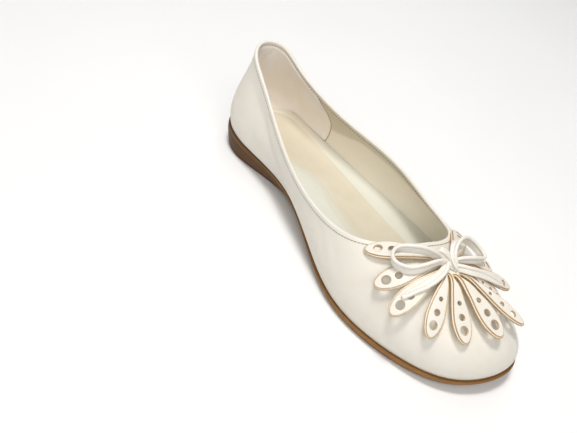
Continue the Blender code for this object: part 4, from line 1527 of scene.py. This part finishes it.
@dataclass
class Fan:
    """Two layers of petals round a sewn hub, draped over the vamp.

    holes are distances from the hub and diameters, for a petal of the nominal length and
    width. ease is how much an edge is rounded, and over what distance.
    """

    hub: Tuple[float, float, float] = (-3.0, -165.0, 50.0)
    turn_deg: Tuple[float, float, float] = (13.5, 5.0, -6.0)
    back_bend: float = 0.0125
    dip: float = 3.5
    dip_radius: float = 15.0
    waist: float = 10.0
    back_radius: float = 7.5
    back_spread: float = 25.0
    slit: float = 1.0
    layer: float = 0.86
    layer_gap: float = 0.01
    inset: float = 0.90
    joined_at: float = 12.0
    own_share: float = 0.85
    own_zone: Edge = (11.5, 22.5)
    sway_span: float = 45.0
    sway_from: float = 6.0
    belly: float = 0.72
    ease: Tuple[float, float] = (0.16, 0.4)
    cupped: float = 0.10
    tip_zone: Edge = (0.3, 1.0)
    holes: Pairs = ((22.0, 2.8), (29.0, 4.0), (35.5, 5.3))
    hole_margin: float = 1.4
    nominal: Tuple[float, float] = (42.5, 12.6)
    petals: Tuple[Petal, ...] = (
        Petal(-128, 47.8, 12.2, 0.0158, 0.10, 11.0),
        Petal(-99, 45.2, 12.8, 0.0190, -0.20, 6.8),
        Petal(-74.5, 46.0, 12.4, 0.0180, 0.15, 7.5, -0.5),
        Petal(-42, 43.8, 11.4, 0.0155, -0.10, 6.4, -1.7),
        Petal(-16, 43.7, 11.6, 0.0100, 0.18, 7.0, -1.7),
        Petal(8.5, 46.0, 13.2, 0.0028, -0.12, 8.0),
        Petal(29, 50.5, 8.9, 0.0012, 0.10, 8.5, 0.5),
        Petal(45, 42.0, 8.2, 0.0120, -0.10),
        Petal(60.5, 47.0, 8.9, 0.0090, 0.10),
        Petal(79.5, 41.5, 11.6, 0.0152, -0.10),
        Petal(121, 39.6, 12.4, 0.0180, 0.12))

    def frame(self) -> np.ndarray:
        """Rotation of the fan's plane: about X, then Y, then Z.

        Returns:
            The rotation matrix.
        """
        turns = []
        for axis, angle in enumerate(self.turn_deg):
            c, s = math.cos(math.radians(angle)), math.sin(math.radians(angle))
            about_x = np.array([[1, 0, 0], [0, c, -s], [0, s, c]])
            turns.append(np.roll(about_x, (axis, axis), (0, 1)))
        return turns[2] @ turns[1] @ turns[0]

    def hole_spots(self, petal: Petal) -> List[Tuple[float, float]]:
        """Distance along the petal and radius of each of its holes."""
        scale, narrow = petal.length / self.nominal[0], petal.width / self.nominal[1]
        return [(distance * scale, narrow * size / 2) for distance, size in self.holes]

    def round_hub(self, name: str, behind: float) -> Pairs:
        """The petals' values of that name against their bearings, and the value behind."""
        held = [(petal.bearing, getattr(petal, name)) for petal in self.petals]
        return [(-180.0, behind), *held, (180.0, behind)]

    def drape(self, forward: np.ndarray, lateral: np.ndarray, height: np.ndarray,
              leaf: Optional[Petal] = None) -> np.ndarray:
        """Point of the draped fan, from its place in the flat fan and its height over it.

        A petal leaves the hub along its bearing and bends down as an arc. Near the hub the
        bend changes smoothly from one bearing to the next; farther out a leaf takes its own
        petal's bend. The middle is pulled down to the vamp, and a leaf's middle bows aside.

        Args:
            forward: place ahead of the hub in the flat fan.
            lateral: place to its lateral side.
            height: height over the draped sheet.
            leaf: the petal that the points belong to, if any.

        Returns:
            The points.
        """
        turn = self.frame()
        ahead, side, up = turn @ [0, -1, 0], turn @ [1, 0, 0], turn @ [0, 0, 1]
        distance, angle = np.hypot(forward, lateral), np.arctan2(lateral, forward)
        place = np.degrees(angle)
        if leaf is not None:
            own = self.own_share * window(distance, self.own_zone)
            place = place + (leaf.bearing - place) * own
            bow = np.sin(math.pi * np.clip(distance / self.sway_span, 0, 1))
            bow *= table(self.round_hub("sway", 0.0), place)
            angle = angle + bow / np.maximum(distance, self.sway_from)
        bend = table(self.round_hub("bend", self.back_bend), place)
        out = np.cos(angle)[..., None] * ahead + np.sin(angle)[..., None] * side
        arc = bend * distance
        drop = (1 - np.cos(arc)) / bend + self.dip * (1 - step(distance / self.dip_radius))
        face = out * np.sin(arc)[..., None] + up * np.cos(arc)[..., None]
        return (np.array(self.hub) + out * (np.sin(arc) / bend)[..., None]
                - up * drop[..., None] + face * np.asarray(height)[..., None])

    def flank(self, petal: Petal, spread: float, middle: float, end: float,
              inset: float) -> np.ndarray:
        """One side of a petal from the slit's end to its tip, in the petal's own plan.

        A Bezier curve rounds the slit's end, a cubic curve widens to the belly, and a
        quarter ellipse closes the tip.

        Args:
            petal: the petal.
            spread: angle to its nearer neighbour, which sets its root's width.
            middle: angle from its axis to the slit's line, in degrees.
            end: distance of the slit's end from the hub's centre.
            inset: how far the layer's edge is stepped in.

        Returns:
            The side's points, shaped (points, 2).
        """
        half, belly = petal.width / 2, self.belly * petal.length
        root = self.waist * math.sin(math.radians(spread / 2)) - self.slit / 2
        knots = ((self.waist, root), (0.45 * petal.length, 0.45 * root + 0.55 * half),
                 (0.60 * petal.length, 0.90 * half), (belly, half),
                 (belly + 0.1 * petal.length, half))
        x = np.linspace(max(self.joined_at, end + 3.0), belly, 40)
        side = np.column_stack([x, table(knots, x) - inset])
        mu = math.radians(middle)
        ray = np.array([math.cos(mu), math.sin(mu)])
        start = (end - inset) * ray
        across = np.array([math.sin(mu), -math.cos(mu)])
        reach = side[0] - start
        wide, along = abs(reach @ across), abs(reach @ ray)
        onward = unit(side[1] - side[0])
        t = np.linspace(0, 1, 24)[:-1, None]
        first = start + across * 0.55 * wide
        second = side[0] - onward * max(along - 0.45 * wide, 0.3)
        slit = ((1 - t) ** 3 * start + 3 * (1 - t) ** 2 * t * first
                + 3 * (1 - t) * t * t * second + t ** 3 * side[0])
        a = np.linspace(0, math.pi / 2, 40)[1:, None]
        tip = np.concatenate([belly + (petal.length - inset - belly) * np.sin(a),
                              (half - inset) * np.cos(a)], 1)
        return np.concatenate([slit, side, tip])

    def rungs(self, width: np.ndarray) -> np.ndarray:
        """Places across a petal from -1 to 1, with one rung 0.4 inside each edge.

        Args:
            width: widths of the petal.

        Returns:
            The places, one more axis than width.
        """
        margin = np.minimum(0.8 / np.maximum(width, 1e-3), 0.22)[..., None]
        inner = np.linspace(-1, 1, 9) * (1 - margin)
        ones = np.ones_like(margin)
        return np.concatenate([-ones, inner, ones], -1)

    def petal_plan(self, petal: Petal, low: np.ndarray, high: np.ndarray,
                   rays: Tuple[np.ndarray, np.ndarray]
                   ) -> Tuple[List[np.ndarray], List[np.ndarray], List[np.ndarray]]:
        """Flat grids of one petal: its root, then a ring of quads round each hole.

        A root row runs straight between the petal's two sides. Round a hole, each line
        runs straight from the rim to the edge of the hole's share of the petal.

        Args:
            petal: the petal.
            low: its side toward the lower bearings (y negative), from slit to tip.
            high: the other side.
            rays: the two lines from the hub's centre to the slits' ends, low and high.

        Returns:
            The grids, the root's first; the edges that get a wall; and the hole rims.
        """
        spots = self.hole_spots(petal)
        cuts = [spots[0][0] - spots[0][1] - self.hole_margin]
        for (a, ra), (b, rb) in zip(spots, spots[1:]):
            cuts.append((a + ra + b - rb) / 2)

        def until(side: np.ndarray, start: float, stop: float, count: int) -> np.ndarray:
            """Points of a side between two distances along the petal, evenly by length.

            Args:
                side: the petal's side.
                start: first distance.
                stop: last distance.
                count: number of points.

            Returns:
                The points.
            """
            ends = np.interp([start, stop], side[:, 0], run_length(side))
            return path_at(side, np.linspace(*ends, count))

        def head(side: np.ndarray) -> np.ndarray:
            """The stretch of a side from the slit's end to the first cut.

            Args:
                side: the petal's side.

            Returns:
                Its points, evenly by length.
            """
            past = len(side) - np.argmax(side[::-1, 0] < cuts[0])
            two = slice(past - 1, past + 1)
            stop = np.interp(cuts[0], side[two, 0], run_length(side)[two])
            return path_at(side, np.linspace(0, stop, 20))

        def across(a: np.ndarray, b: np.ndarray) -> np.ndarray:
            """Points of straight lines across the petal."""
            rung = self.rungs(np.linalg.norm(b - a, axis=-1))[..., None]
            return a[..., None, :] + (b - a)[..., None, :] * (rung + 1) / 2

        edges = [head(low), head(high)]
        left, right = (np.concatenate([ray, edge[1:]]) for ray, edge in zip(rays, edges))
        grids, rims, walls = [across(left, right)], [], [[edge] for edge in edges]
        tip = float(max(low[-1, 0], high[-1, 0]))
        for k, (centre, radius) in enumerate(spots):
            at_tip = k + 1 == len(cuts)
            stop, count = (tip, 26) if at_tip else (cuts[k + 1], 9)
            sides = [until(side, cuts[k], stop, count) for side in (low, high)]
            for wall, side in zip(walls, sides):
                wall.append(side[1:])
            loop = [across(sides[0][0], sides[1][0])[:-1], sides[1][:-1]]
            if not at_tip:
                loop.append(across(sides[0][-1], sides[1][-1])[::-1][:-1])
            loop.append(sides[0][::-1][:-1])
            edge = np.concatenate(loop)
            middle = np.array([centre, 0.0])
            rim = middle + unit(edge - middle) * radius
            span = np.linalg.norm(edge - rim, axis=1)
            parts = np.array([0.0, 0.08, 0.2, 0.38, 0.58, 0.78])[:, None] + 0 * span
            last_in = 1 - np.minimum(0.4 / span, 0.16)
            parts = np.concatenate([parts, last_in[None], 0 * span[None] + 1])
            grids.append(rim + (edge - rim) * parts[..., None])
            rims.append(rim)
        return grids, [np.concatenate(side) for side in walls], rims

    def make_layer(self, name: str, middle: float, inset: float) -> bpy.types.Object:
        """Builds one leather layer.

        Args:
            name: the piece's name.
            middle: height of the layer's middle over the fan's sheet.
            inset: how far its edges are stepped in from the fan's outline.

        Returns:
            The layer, with tan walls at its edges and holes.
        """
        work = Patchwork(name)
        half = self.layer / 2
        depth, reach = self.ease
        petals = self.petals
        gaps = [b.bearing - a.bearing for a, b in zip(petals, petals[1:])]
        slit_rows = np.linspace(0, 1, 9)[:, None]

        def lay(plan: np.ndarray, leaf: Petal, height: np.ndarray) -> np.ndarray:
            """Turns flat points to the petal's bearing and drapes them at a height.

            Args:
                plan: flat points in the petal's own plan.
                leaf: the petal.
                height: height of each over the sheet.

            Returns:
                The points of the shoe.
            """
            turn = math.radians(leaf.bearing)
            c, s = math.cos(turn), math.sin(turn)
            x, y = plan[..., 0], plan[..., 1]
            tip = window(x / leaf.length, self.tip_zone)
            cup = self.cupped * tip * (1 - (y / 5.0) ** 2)
            height = height + leaf.twist * tip * y / 4 + cup
            return self.drape(x * c - y * s, x * s + y * c, height, leaf)

        def skins(plan: np.ndarray, leaf: Petal, near: np.ndarray, hole: np.ndarray,
                  ring: bool = False) -> None:
            """Adds the top and the underside of a flat grid, eased toward its edges.

            Args:
                plan: the flat grid.
                leaf: its petal.
                near: distance of each point from the petal's edge.
                hole: the same from the nearest hole.
                ring: closes the grid round a hole.
            """
            ease = depth * (1 - np.clip(np.minimum(near, hole) / reach, 0, 1)) ** 2
            for sign in (1, -1):
                work.grid(lay(plan, leaf, middle + sign * (half - ease)), Finish.PETAL,
                          wrap_columns=ring, edge=near)

        def wall(line: np.ndarray, leaf: Petal, closed: bool = False) -> None:
            """Adds the cut edge along a line, from top to underside.

            Args:
                line: flat points of the edge.
                leaf: its petal.
                closed: joins the last point to the first.
            """
            rows = [lay(line, leaf, middle + share * (half - depth) + 0 * line[:, 0])
                    for share in np.linspace(1, -1, 5)]
            work.grid(np.array(rows), Finish.EDGE, wrap_columns=closed)

        for k, petal in enumerate(petals):
            below = gaps[k - 1] / 2 if k else self.back_spread
            above = gaps[k] / 2 if k < len(gaps) else self.back_spread
            spread = min(gaps[max(k - 1, 0):k + 1])
            ends = [petals[k - 1].slit if k else self.back_radius,
                    petal.slit if k < len(gaps) else self.back_radius]
            low = self.flank(petal, spread, below, ends[0], inset) * [1, -1]
            high = self.flank(petal, spread, above, ends[1], inset)
            rays = tuple(slit_rows * side[0] for side in (low, high))
            grids, walls, rims = self.petal_plan(petal, low, high, rays)
            outline = np.concatenate([low[::-1], high])
            for n, plan in enumerate(grids):
                flat = plan.reshape(-1, 1, 2)
                near = np.linalg.norm(flat - outline[None], axis=-1).min(1)
                hole = np.min([np.hypot(plan[..., 0] - distance, plan[..., 1]) - radius
                               for distance, radius in self.hole_spots(petal)], axis=0)
                skins(plan, petal, near.reshape(plan.shape[:2]), hole, n > 0)
            for line in walls:
                wall(line, petal)
            for rim in rims:
                wall(rim, petal, True)
        radius = self.back_radius - inset
        first = petals[-1].bearing + self.back_spread
        final = petals[0].bearing - self.back_spread + 360
        turn = np.radians(np.linspace(first, final, 24))
        arc = np.column_stack([np.cos(turn), np.sin(turn)]) * radius
        near = radius * (1 - slit_rows) + 0 * turn
        flat = Petal(0.0, 60.0, 12.0, 0.0)
        skins(slit_rows[:, None] * arc[None], flat, near, near + 1.0)
        wall(arc, flat)
        return settle(work.build(38.0), "white_leather", "petal_fan")

    def make(self) -> None:
        """Builds the lower layer, and the smaller one that lies on it."""
        lift = self.layer / 2 + self.layer_gap
        self.make_layer("fan_lower_layer", -lift, 0.0)
        self.make_layer("fan_upper_layer", lift, self.inset)


# ================================================================ the bow
@dataclass
class Strap:
    """Folded, edge-stitched strap: a round fold on one edge, a flat flange on the other.

    A path row is the fold's middle (forward, lateral and height over the draped fan), the
    roll in degrees and the width. Roll 0 lies flat with the fold to the right of the way,
    90 stands with the fold on top, and 180 lies flat with the fold to the left.
    """

    name: str
    path: Path
    rows: int = 90
    fold: Pairs = ((1.0, 0.0), (0.97, 0.27), (0.86, 0.56), (0.62, 0.84), (0.28, 1.0),
                   (-0.12, 1.04), (-0.48, 0.97), (-0.76, 0.80), (-0.94, 0.60),
                   (-1.08, 0.47), (-1.24, 0.50), (-1.42, 0.60))
    flange: Pairs = ((0.12, 0.63), (0.4, 0.62), (0.7, 0.60), (0.93, 0.58), (0.985, 0.46),
                     (1.0, 0.30))
    seam_at: float = -1.08
    seam_half: float = 0.51
    pitch: float = 1.5
    stitch: float = 1.0
    thread: float = 0.13
    seam_ends: float = 1.2
    cap: Pairs = ((0.95, 0.18), (0.80, 0.32), (0.5, 0.38), (0.0, 0.38))

    def section(self, wide: np.ndarray) -> np.ndarray:
        """Closed sections for these widths, shaped (rows, points, 2).

        Only the flange stretches: its places are shares of what is left past the fold.

        Args:
            wide: the strap's width at each row.

        Returns:
            The sections.
        """
        fold, flange = np.array(self.fold), np.array(self.flange)
        edge = 1.0 - wide[:, None]
        across = np.concatenate([fold[:, 0] + 0 * wide[:, None],
                                 fold[-1, 0] + (edge - fold[-1, 0]) * flange[:, 0]], 1)
        half = np.concatenate([fold[:, 1], flange[:, 1]]) + 0 * across
        across = np.concatenate([across, across[:, :0:-1]], 1)
        half = np.concatenate([half, -half[:, :0:-1]], 1)
        return np.stack([across, half], -1)

    def make(self, fan: Fan, threads: Patchwork) -> Patchwork:
        """Adds the strap's stitches to threads, and returns the strap as grids.

        Args:
            fan: the fan that the path is measured over.
            threads: where the stitches go.

        Returns:
            The strap.
        """
        line = smooth_path(self.path, self.rows)
        forward, lateral, height, roll, wide = line.T
        low, high = (fan.drape(forward, lateral, height + off) for off in (-0.5, 0.5))
        fold = (low + high) / 2
        way = unit(np.gradient(fold, axis=0))
        side = unit(np.cross(way, high - low))
        up = np.cross(side, way)
        c, s = np.cos(np.radians(roll))[:, None], np.sin(np.radians(roll))[:, None]
        width, thick = side * c + up * s, up * c - side * s
        section = self.section(wide)
        rings = (fold[:, None] + width[:, None] * section[..., :1]
                 + thick[:, None] * section[..., 1:])
        shrink, push = np.array(self.cap).T[..., None, None]
        caps = []
        for ring, sign in ((0, -1), (-1, 1)):
            heart = rings[ring].mean(0)
            caps.append(heart + (rings[ring] - heart) * shrink + sign * way[ring] * push)
        work = Patchwork(self.name)
        work.grid(np.concatenate([caps[0][::-1], rings, caps[1]]), Finish.STRAP,
                  wrap_columns=True)
        length = run_length(fold)
        want = np.arange(self.seam_ends, length[-1] - self.seam_ends, self.pitch)
        for sign in (1, -1):
            track = fold + width * self.seam_at + thick * sign * self.seam_half
            spots, ways = (np.column_stack([np.interp(want, length, axis)
                                            for axis in curve.T]) for curve in (track, way))
            threads.grids(stitches(spots, ways, self.stitch, self.thread),
                          Finish.STRAP_THREAD, wrap_columns=True)
        return work


@dataclass
class Bow:
    """Bow of folded straps: two loops, two tails, and the wraps of the knot."""

    fan: Fan
    left_loop: Path = (
        (-0.9, -2.0, 3.8, 74, 3.8), (-2.6, -3.8, 4.4, 74, 4.0), (-4.4, -6.0, 5.0, 72, 4.3),
        (-6.1, -8.9, 5.9, 70, 4.8), (-8.5, -12.7, 7.3, 68, 5.3),
        (-10.6, -16.0, 8.4, 68, 5.4), (-12.3, -19.1, 9.0, 68, 5.5),
        (-14.0, -22.0, 9.1, 70, 5.5), (-15.2, -24.8, 8.8, 76, 5.5),
        (-15.1, -27.2, 8.2, 84, 5.5), (-13.7, -28.9, 7.4, 90, 5.5),
        (-11.4, -29.3, 6.5, 98, 5.5), (-9.0, -28.5, 5.9, 110, 5.5),
        (-6.7, -26.6, 5.3, 122, 5.4), (-4.5, -23.9, 4.9, 128, 5.4),
        (-3.3, -20.4, 4.7, 128, 5.2), (-2.7, -16.5, 4.7, 124, 4.9),
        (-2.3, -12.3, 4.8, 118, 4.4), (-2.0, -7.0, 4.7, 112, 4.0),
        (-1.1, -3.0, 4.0, 104, 3.8))
    right_loop: Path = (
        (3.2, 3.3, -0.8, 2, 4.3), (3.5, 3.3, 0.9, 2, 4.3), (3.0, 3.0, 2.9, 4, 4.3),
        (1.7, 2.0, 4.6, 8, 3.9), (-0.3, 1.8, 5.9, 14, 3.7), (-2.2, 2.0, 6.8, 20, 3.8),
        (-4.0, 3.2, 7.2, 28, 4.1), (-5.6, 4.8, 7.4, 36, 4.5), (-7.0, 7.0, 7.5, 48, 4.9),
        (-8.0, 10.1, 7.6, 66, 5.2), (-8.1, 14.2, 7.6, 84, 5.5), (-5.8, 17.8, 7.3, 86, 5.4),
        (-2.4, 20.4, 6.8, 84, 5.2), (1.0, 21.9, 6.3, 82, 5.0), (3.0, 22.3, 5.8, 76, 5.0),
        (3.6, 20.7, 5.4, 66, 5.0), (3.3, 17.8, 5.2, 60, 5.0), (2.4, 12.8, 5.2, 58, 4.8),
        (1.1, 8.5, 5.2, 60, 4.4), (0.1, 5.1, 5.0, 66, 4.0), (-0.3, 2.6, 4.2, 74, 3.8))
    left_tail: Path = (
        (-0.6, -1.6, 3.8, 140, 3.6), (0.4, -2.8, 3.8, 145, 3.8), (2.0, -4.0, 3.1, 155, 4.2),
        (3.9, -7.0, 2.4, 165, 4.6), (5.6, -11.6, 2.2, 172, 4.8),
        (6.7, -15.3, 2.15, 176, 4.7), (7.3, -19.0, 2.15, 178, 4.5),
        (7.6, -22.7, 2.15, 178, 4.1), (7.4, -26.6, 2.15, 178, 3.6),
        (7.4, -30.6, 2.15, 178, 3.1), (7.2, -34.4, 2.15, 178, 2.4))
    right_tail: Path = (
        (0.9, 0.2, 3.6, 130, 4.0), (2.3, 1.7, 4.1, 132, 4.2), (3.9, 4.2, 4.1, 138, 4.5),
        (7.0, 8.6, 3.6, 148, 4.8), (9.5, 13.5, 3.1, 158, 4.8), (12.4, 18.9, 2.7, 164, 4.6),
        (15.5, 23.9, 2.5, 168, 4.2), (18.9, 28.6, 2.4, 170, 3.2))
    wrap: Path = (
        (-7.6, -5.6, 3.4, 10, 3.6), (-6.6, -4.8, 5.0, 8, 4.0), (-5.0, -3.5, 5.9, 8, 4.2),
        (-2.8, -1.7, 5.6, 6, 4.2), (-0.8, -0.1, 4.5, 4, 4.2), (0.8, 1.2, 2.8, 2, 4.0),
        (1.4, 1.8, 0.9, 2, 4.0))
    core_at: Tuple[float, float, float] = (-1.0, -0.4, 1.9)
    core: Tuple[float, float, float] = (3.4, 3.6, 2.6)

    def make_core(self) -> Patchwork:
        """Gathered leather inside the knot: an ellipsoid with sines for its folds.

        Returns:
            The core, ready to build.
        """
        u = np.linspace(0, math.pi, 22)[:, None]
        v = (np.arange(32) * math.tau / 32)[None]
        folds = (1 + 0.04 * np.sin(5 * v + 2 * u) * np.sin(u)) * np.sin(u)
        points = self.fan.drape(self.core_at[0] + self.core[0] * folds * np.cos(v),
                                self.core_at[1] + self.core[1] * folds * np.sin(v),
                                self.core_at[2] - self.core[2] * np.cos(u) + 0 * v)
        work = Patchwork("bow_knot_core")
        work.grid(points, Finish.STRAP, wrap_columns=True)
        return work

    def make(self) -> None:
        """Builds the straps, the knot and all their stitches."""
        straps = (
            (Strap("strap_loop_left", self.left_loop, 150), "bow_loop_left"),
            (Strap("strap_loop_right", self.right_loop, 170), "bow_loop_right"),
            (Strap("strap_tail_left", self.left_tail), "bow_tail_left"),
            (Strap("strap_tail_right", self.right_tail), "bow_tail_right"),
            (Strap("strap_knot_wrap", self.wrap, 48), None),
        )
        threads = Patchwork("strap_stitches")
        for strap, node in straps:
            piece = strap.make(self.fan, threads).build(60.0)
            settle(piece, "white_leather", *([node] if node else []))
        settle(self.make_core().build(ALL_SMOOTH), "white_leather", "bow_knot")
        settle(threads.build(ALL_SMOOTH), "white_leather")


# ================================================================ studio
@dataclass(frozen=True)
class Viewpoint:
    """Camera: its place in mm, the ways it looks, and its lens on a 36 mm wide frame."""

    place: Tuple[float, float, float] = (-226.422, -248.294, 274.793)
    forward: Tuple[float, float, float] = (0.51700, 0.47509, -0.71204)
    right: Tuple[float, float, float] = (0.79219, -0.58067, 0.18776)
    lens: float = 36.958

    def make(self) -> None:
        """Adds the camera and makes it the scene's own."""
        data = bpy.data.cameras.new("viewpoint")
        data.lens, data.sensor_width = self.lens, 36.0
        data.clip_start, data.clip_end = 0.01, 20.0
        camera = bpy.data.objects.new("viewpoint", data)
        bpy.context.scene.collection.objects.link(camera)
        back = -Vector(self.forward).normalized()
        right = Vector(self.right)
        right = (right - back * right.dot(back)).normalized()
        turn = Matrix((right, back.cross(right), back)).transposed()
        camera.matrix_world = Matrix.LocRotScale(Vector(self.place) * MM, turn, None)
        bpy.context.scene.camera = camera


@dataclass(frozen=True)
class Softbox:
    """Square area light that looks at the middle of the shoe."""

    name: str
    place: Tuple[float, float, float]
    size: float
    power: float
    colour: Colour = (1.0, 1.0, 1.0)
    aim: Tuple[float, float, float] = (0.0, -0.10, 0.03)

    def make(self) -> None:
        """Adds the light."""
        data = bpy.data.lights.new(self.name, "AREA")
        data.shape, data.size, data.energy = "SQUARE", self.size, self.power
        data.color = self.colour
        lamp = bpy.data.objects.new(self.name, data)
        bpy.context.scene.collection.objects.link(lamp)
        place = Vector(self.place)
        turn = (Vector(self.aim) - place).to_track_quat("-Z", "Y")
        lamp.matrix_world = Matrix.LocRotScale(place, turn, None)


@dataclass
class Studio:
    """Pale floor, soft lights and a light surround."""

    lights: Tuple[Softbox, ...] = (
        Softbox("key_light", (-0.08, 0.04, 1.20), 0.26, 8.6, (1.0, 0.99, 0.975)),
        Softbox("front_light", (-0.35, -0.90, 1.00), 1.0, 6.3, (1.0, 0.99, 0.975)),
        Softbox("side_light", (-0.90, -0.30, 0.95), 1.0, 4.4, (1.0, 0.99, 0.975)),
        Softbox("back_light", (0.80, 0.50, 0.90), 1.0, 3.6),
    )
    surround: float = 0.09
    floor_half: float = 1500.0

    def make(self) -> None:
        """Builds the studio."""
        scene = bpy.context.scene
        scene.view_settings.view_transform = "Standard"
        world = bpy.data.worlds.new("surround")
        world.use_nodes = True
        ground = world.node_tree.nodes["Background"]
        ground.inputs["Color"].default_value = (1.0, 1.0, 1.0, 1.0)
        ground.inputs["Strength"].default_value = self.surround
        scene.world = world
        for light in self.lights:
            light.make()
        side = np.linspace(-self.floor_half, self.floor_half, 9)
        x, y = np.meshgrid(side, side)
        work = Patchwork("studio_floor")
        work.grid(np.stack([x, y, 0 * x - 0.02], -1), Finish.FLOOR)
        floor = work.build(ALL_SMOOTH)
        if floor.data.polygons[0].normal.z < 0:
            floor.data.flip_normals()


def main() -> None:
    """Builds the studio and the shoe, from the sole up."""
    logging.basicConfig(level=logging.INFO, format="%(message)s")
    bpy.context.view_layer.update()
    Viewpoint().make()
    Studio().make()
    last = Last()
    Outsole(Last(columns=640)).make()
    upper = Upper(last)
    upper.make_shell()
    upper.make_seams()
    HeelLining(last, upper).make()
    Insole(last, upper).make()
    fan = Fan()
    fan.make()
    Bow(fan).make()


if __name__ == "__main__":
    main()
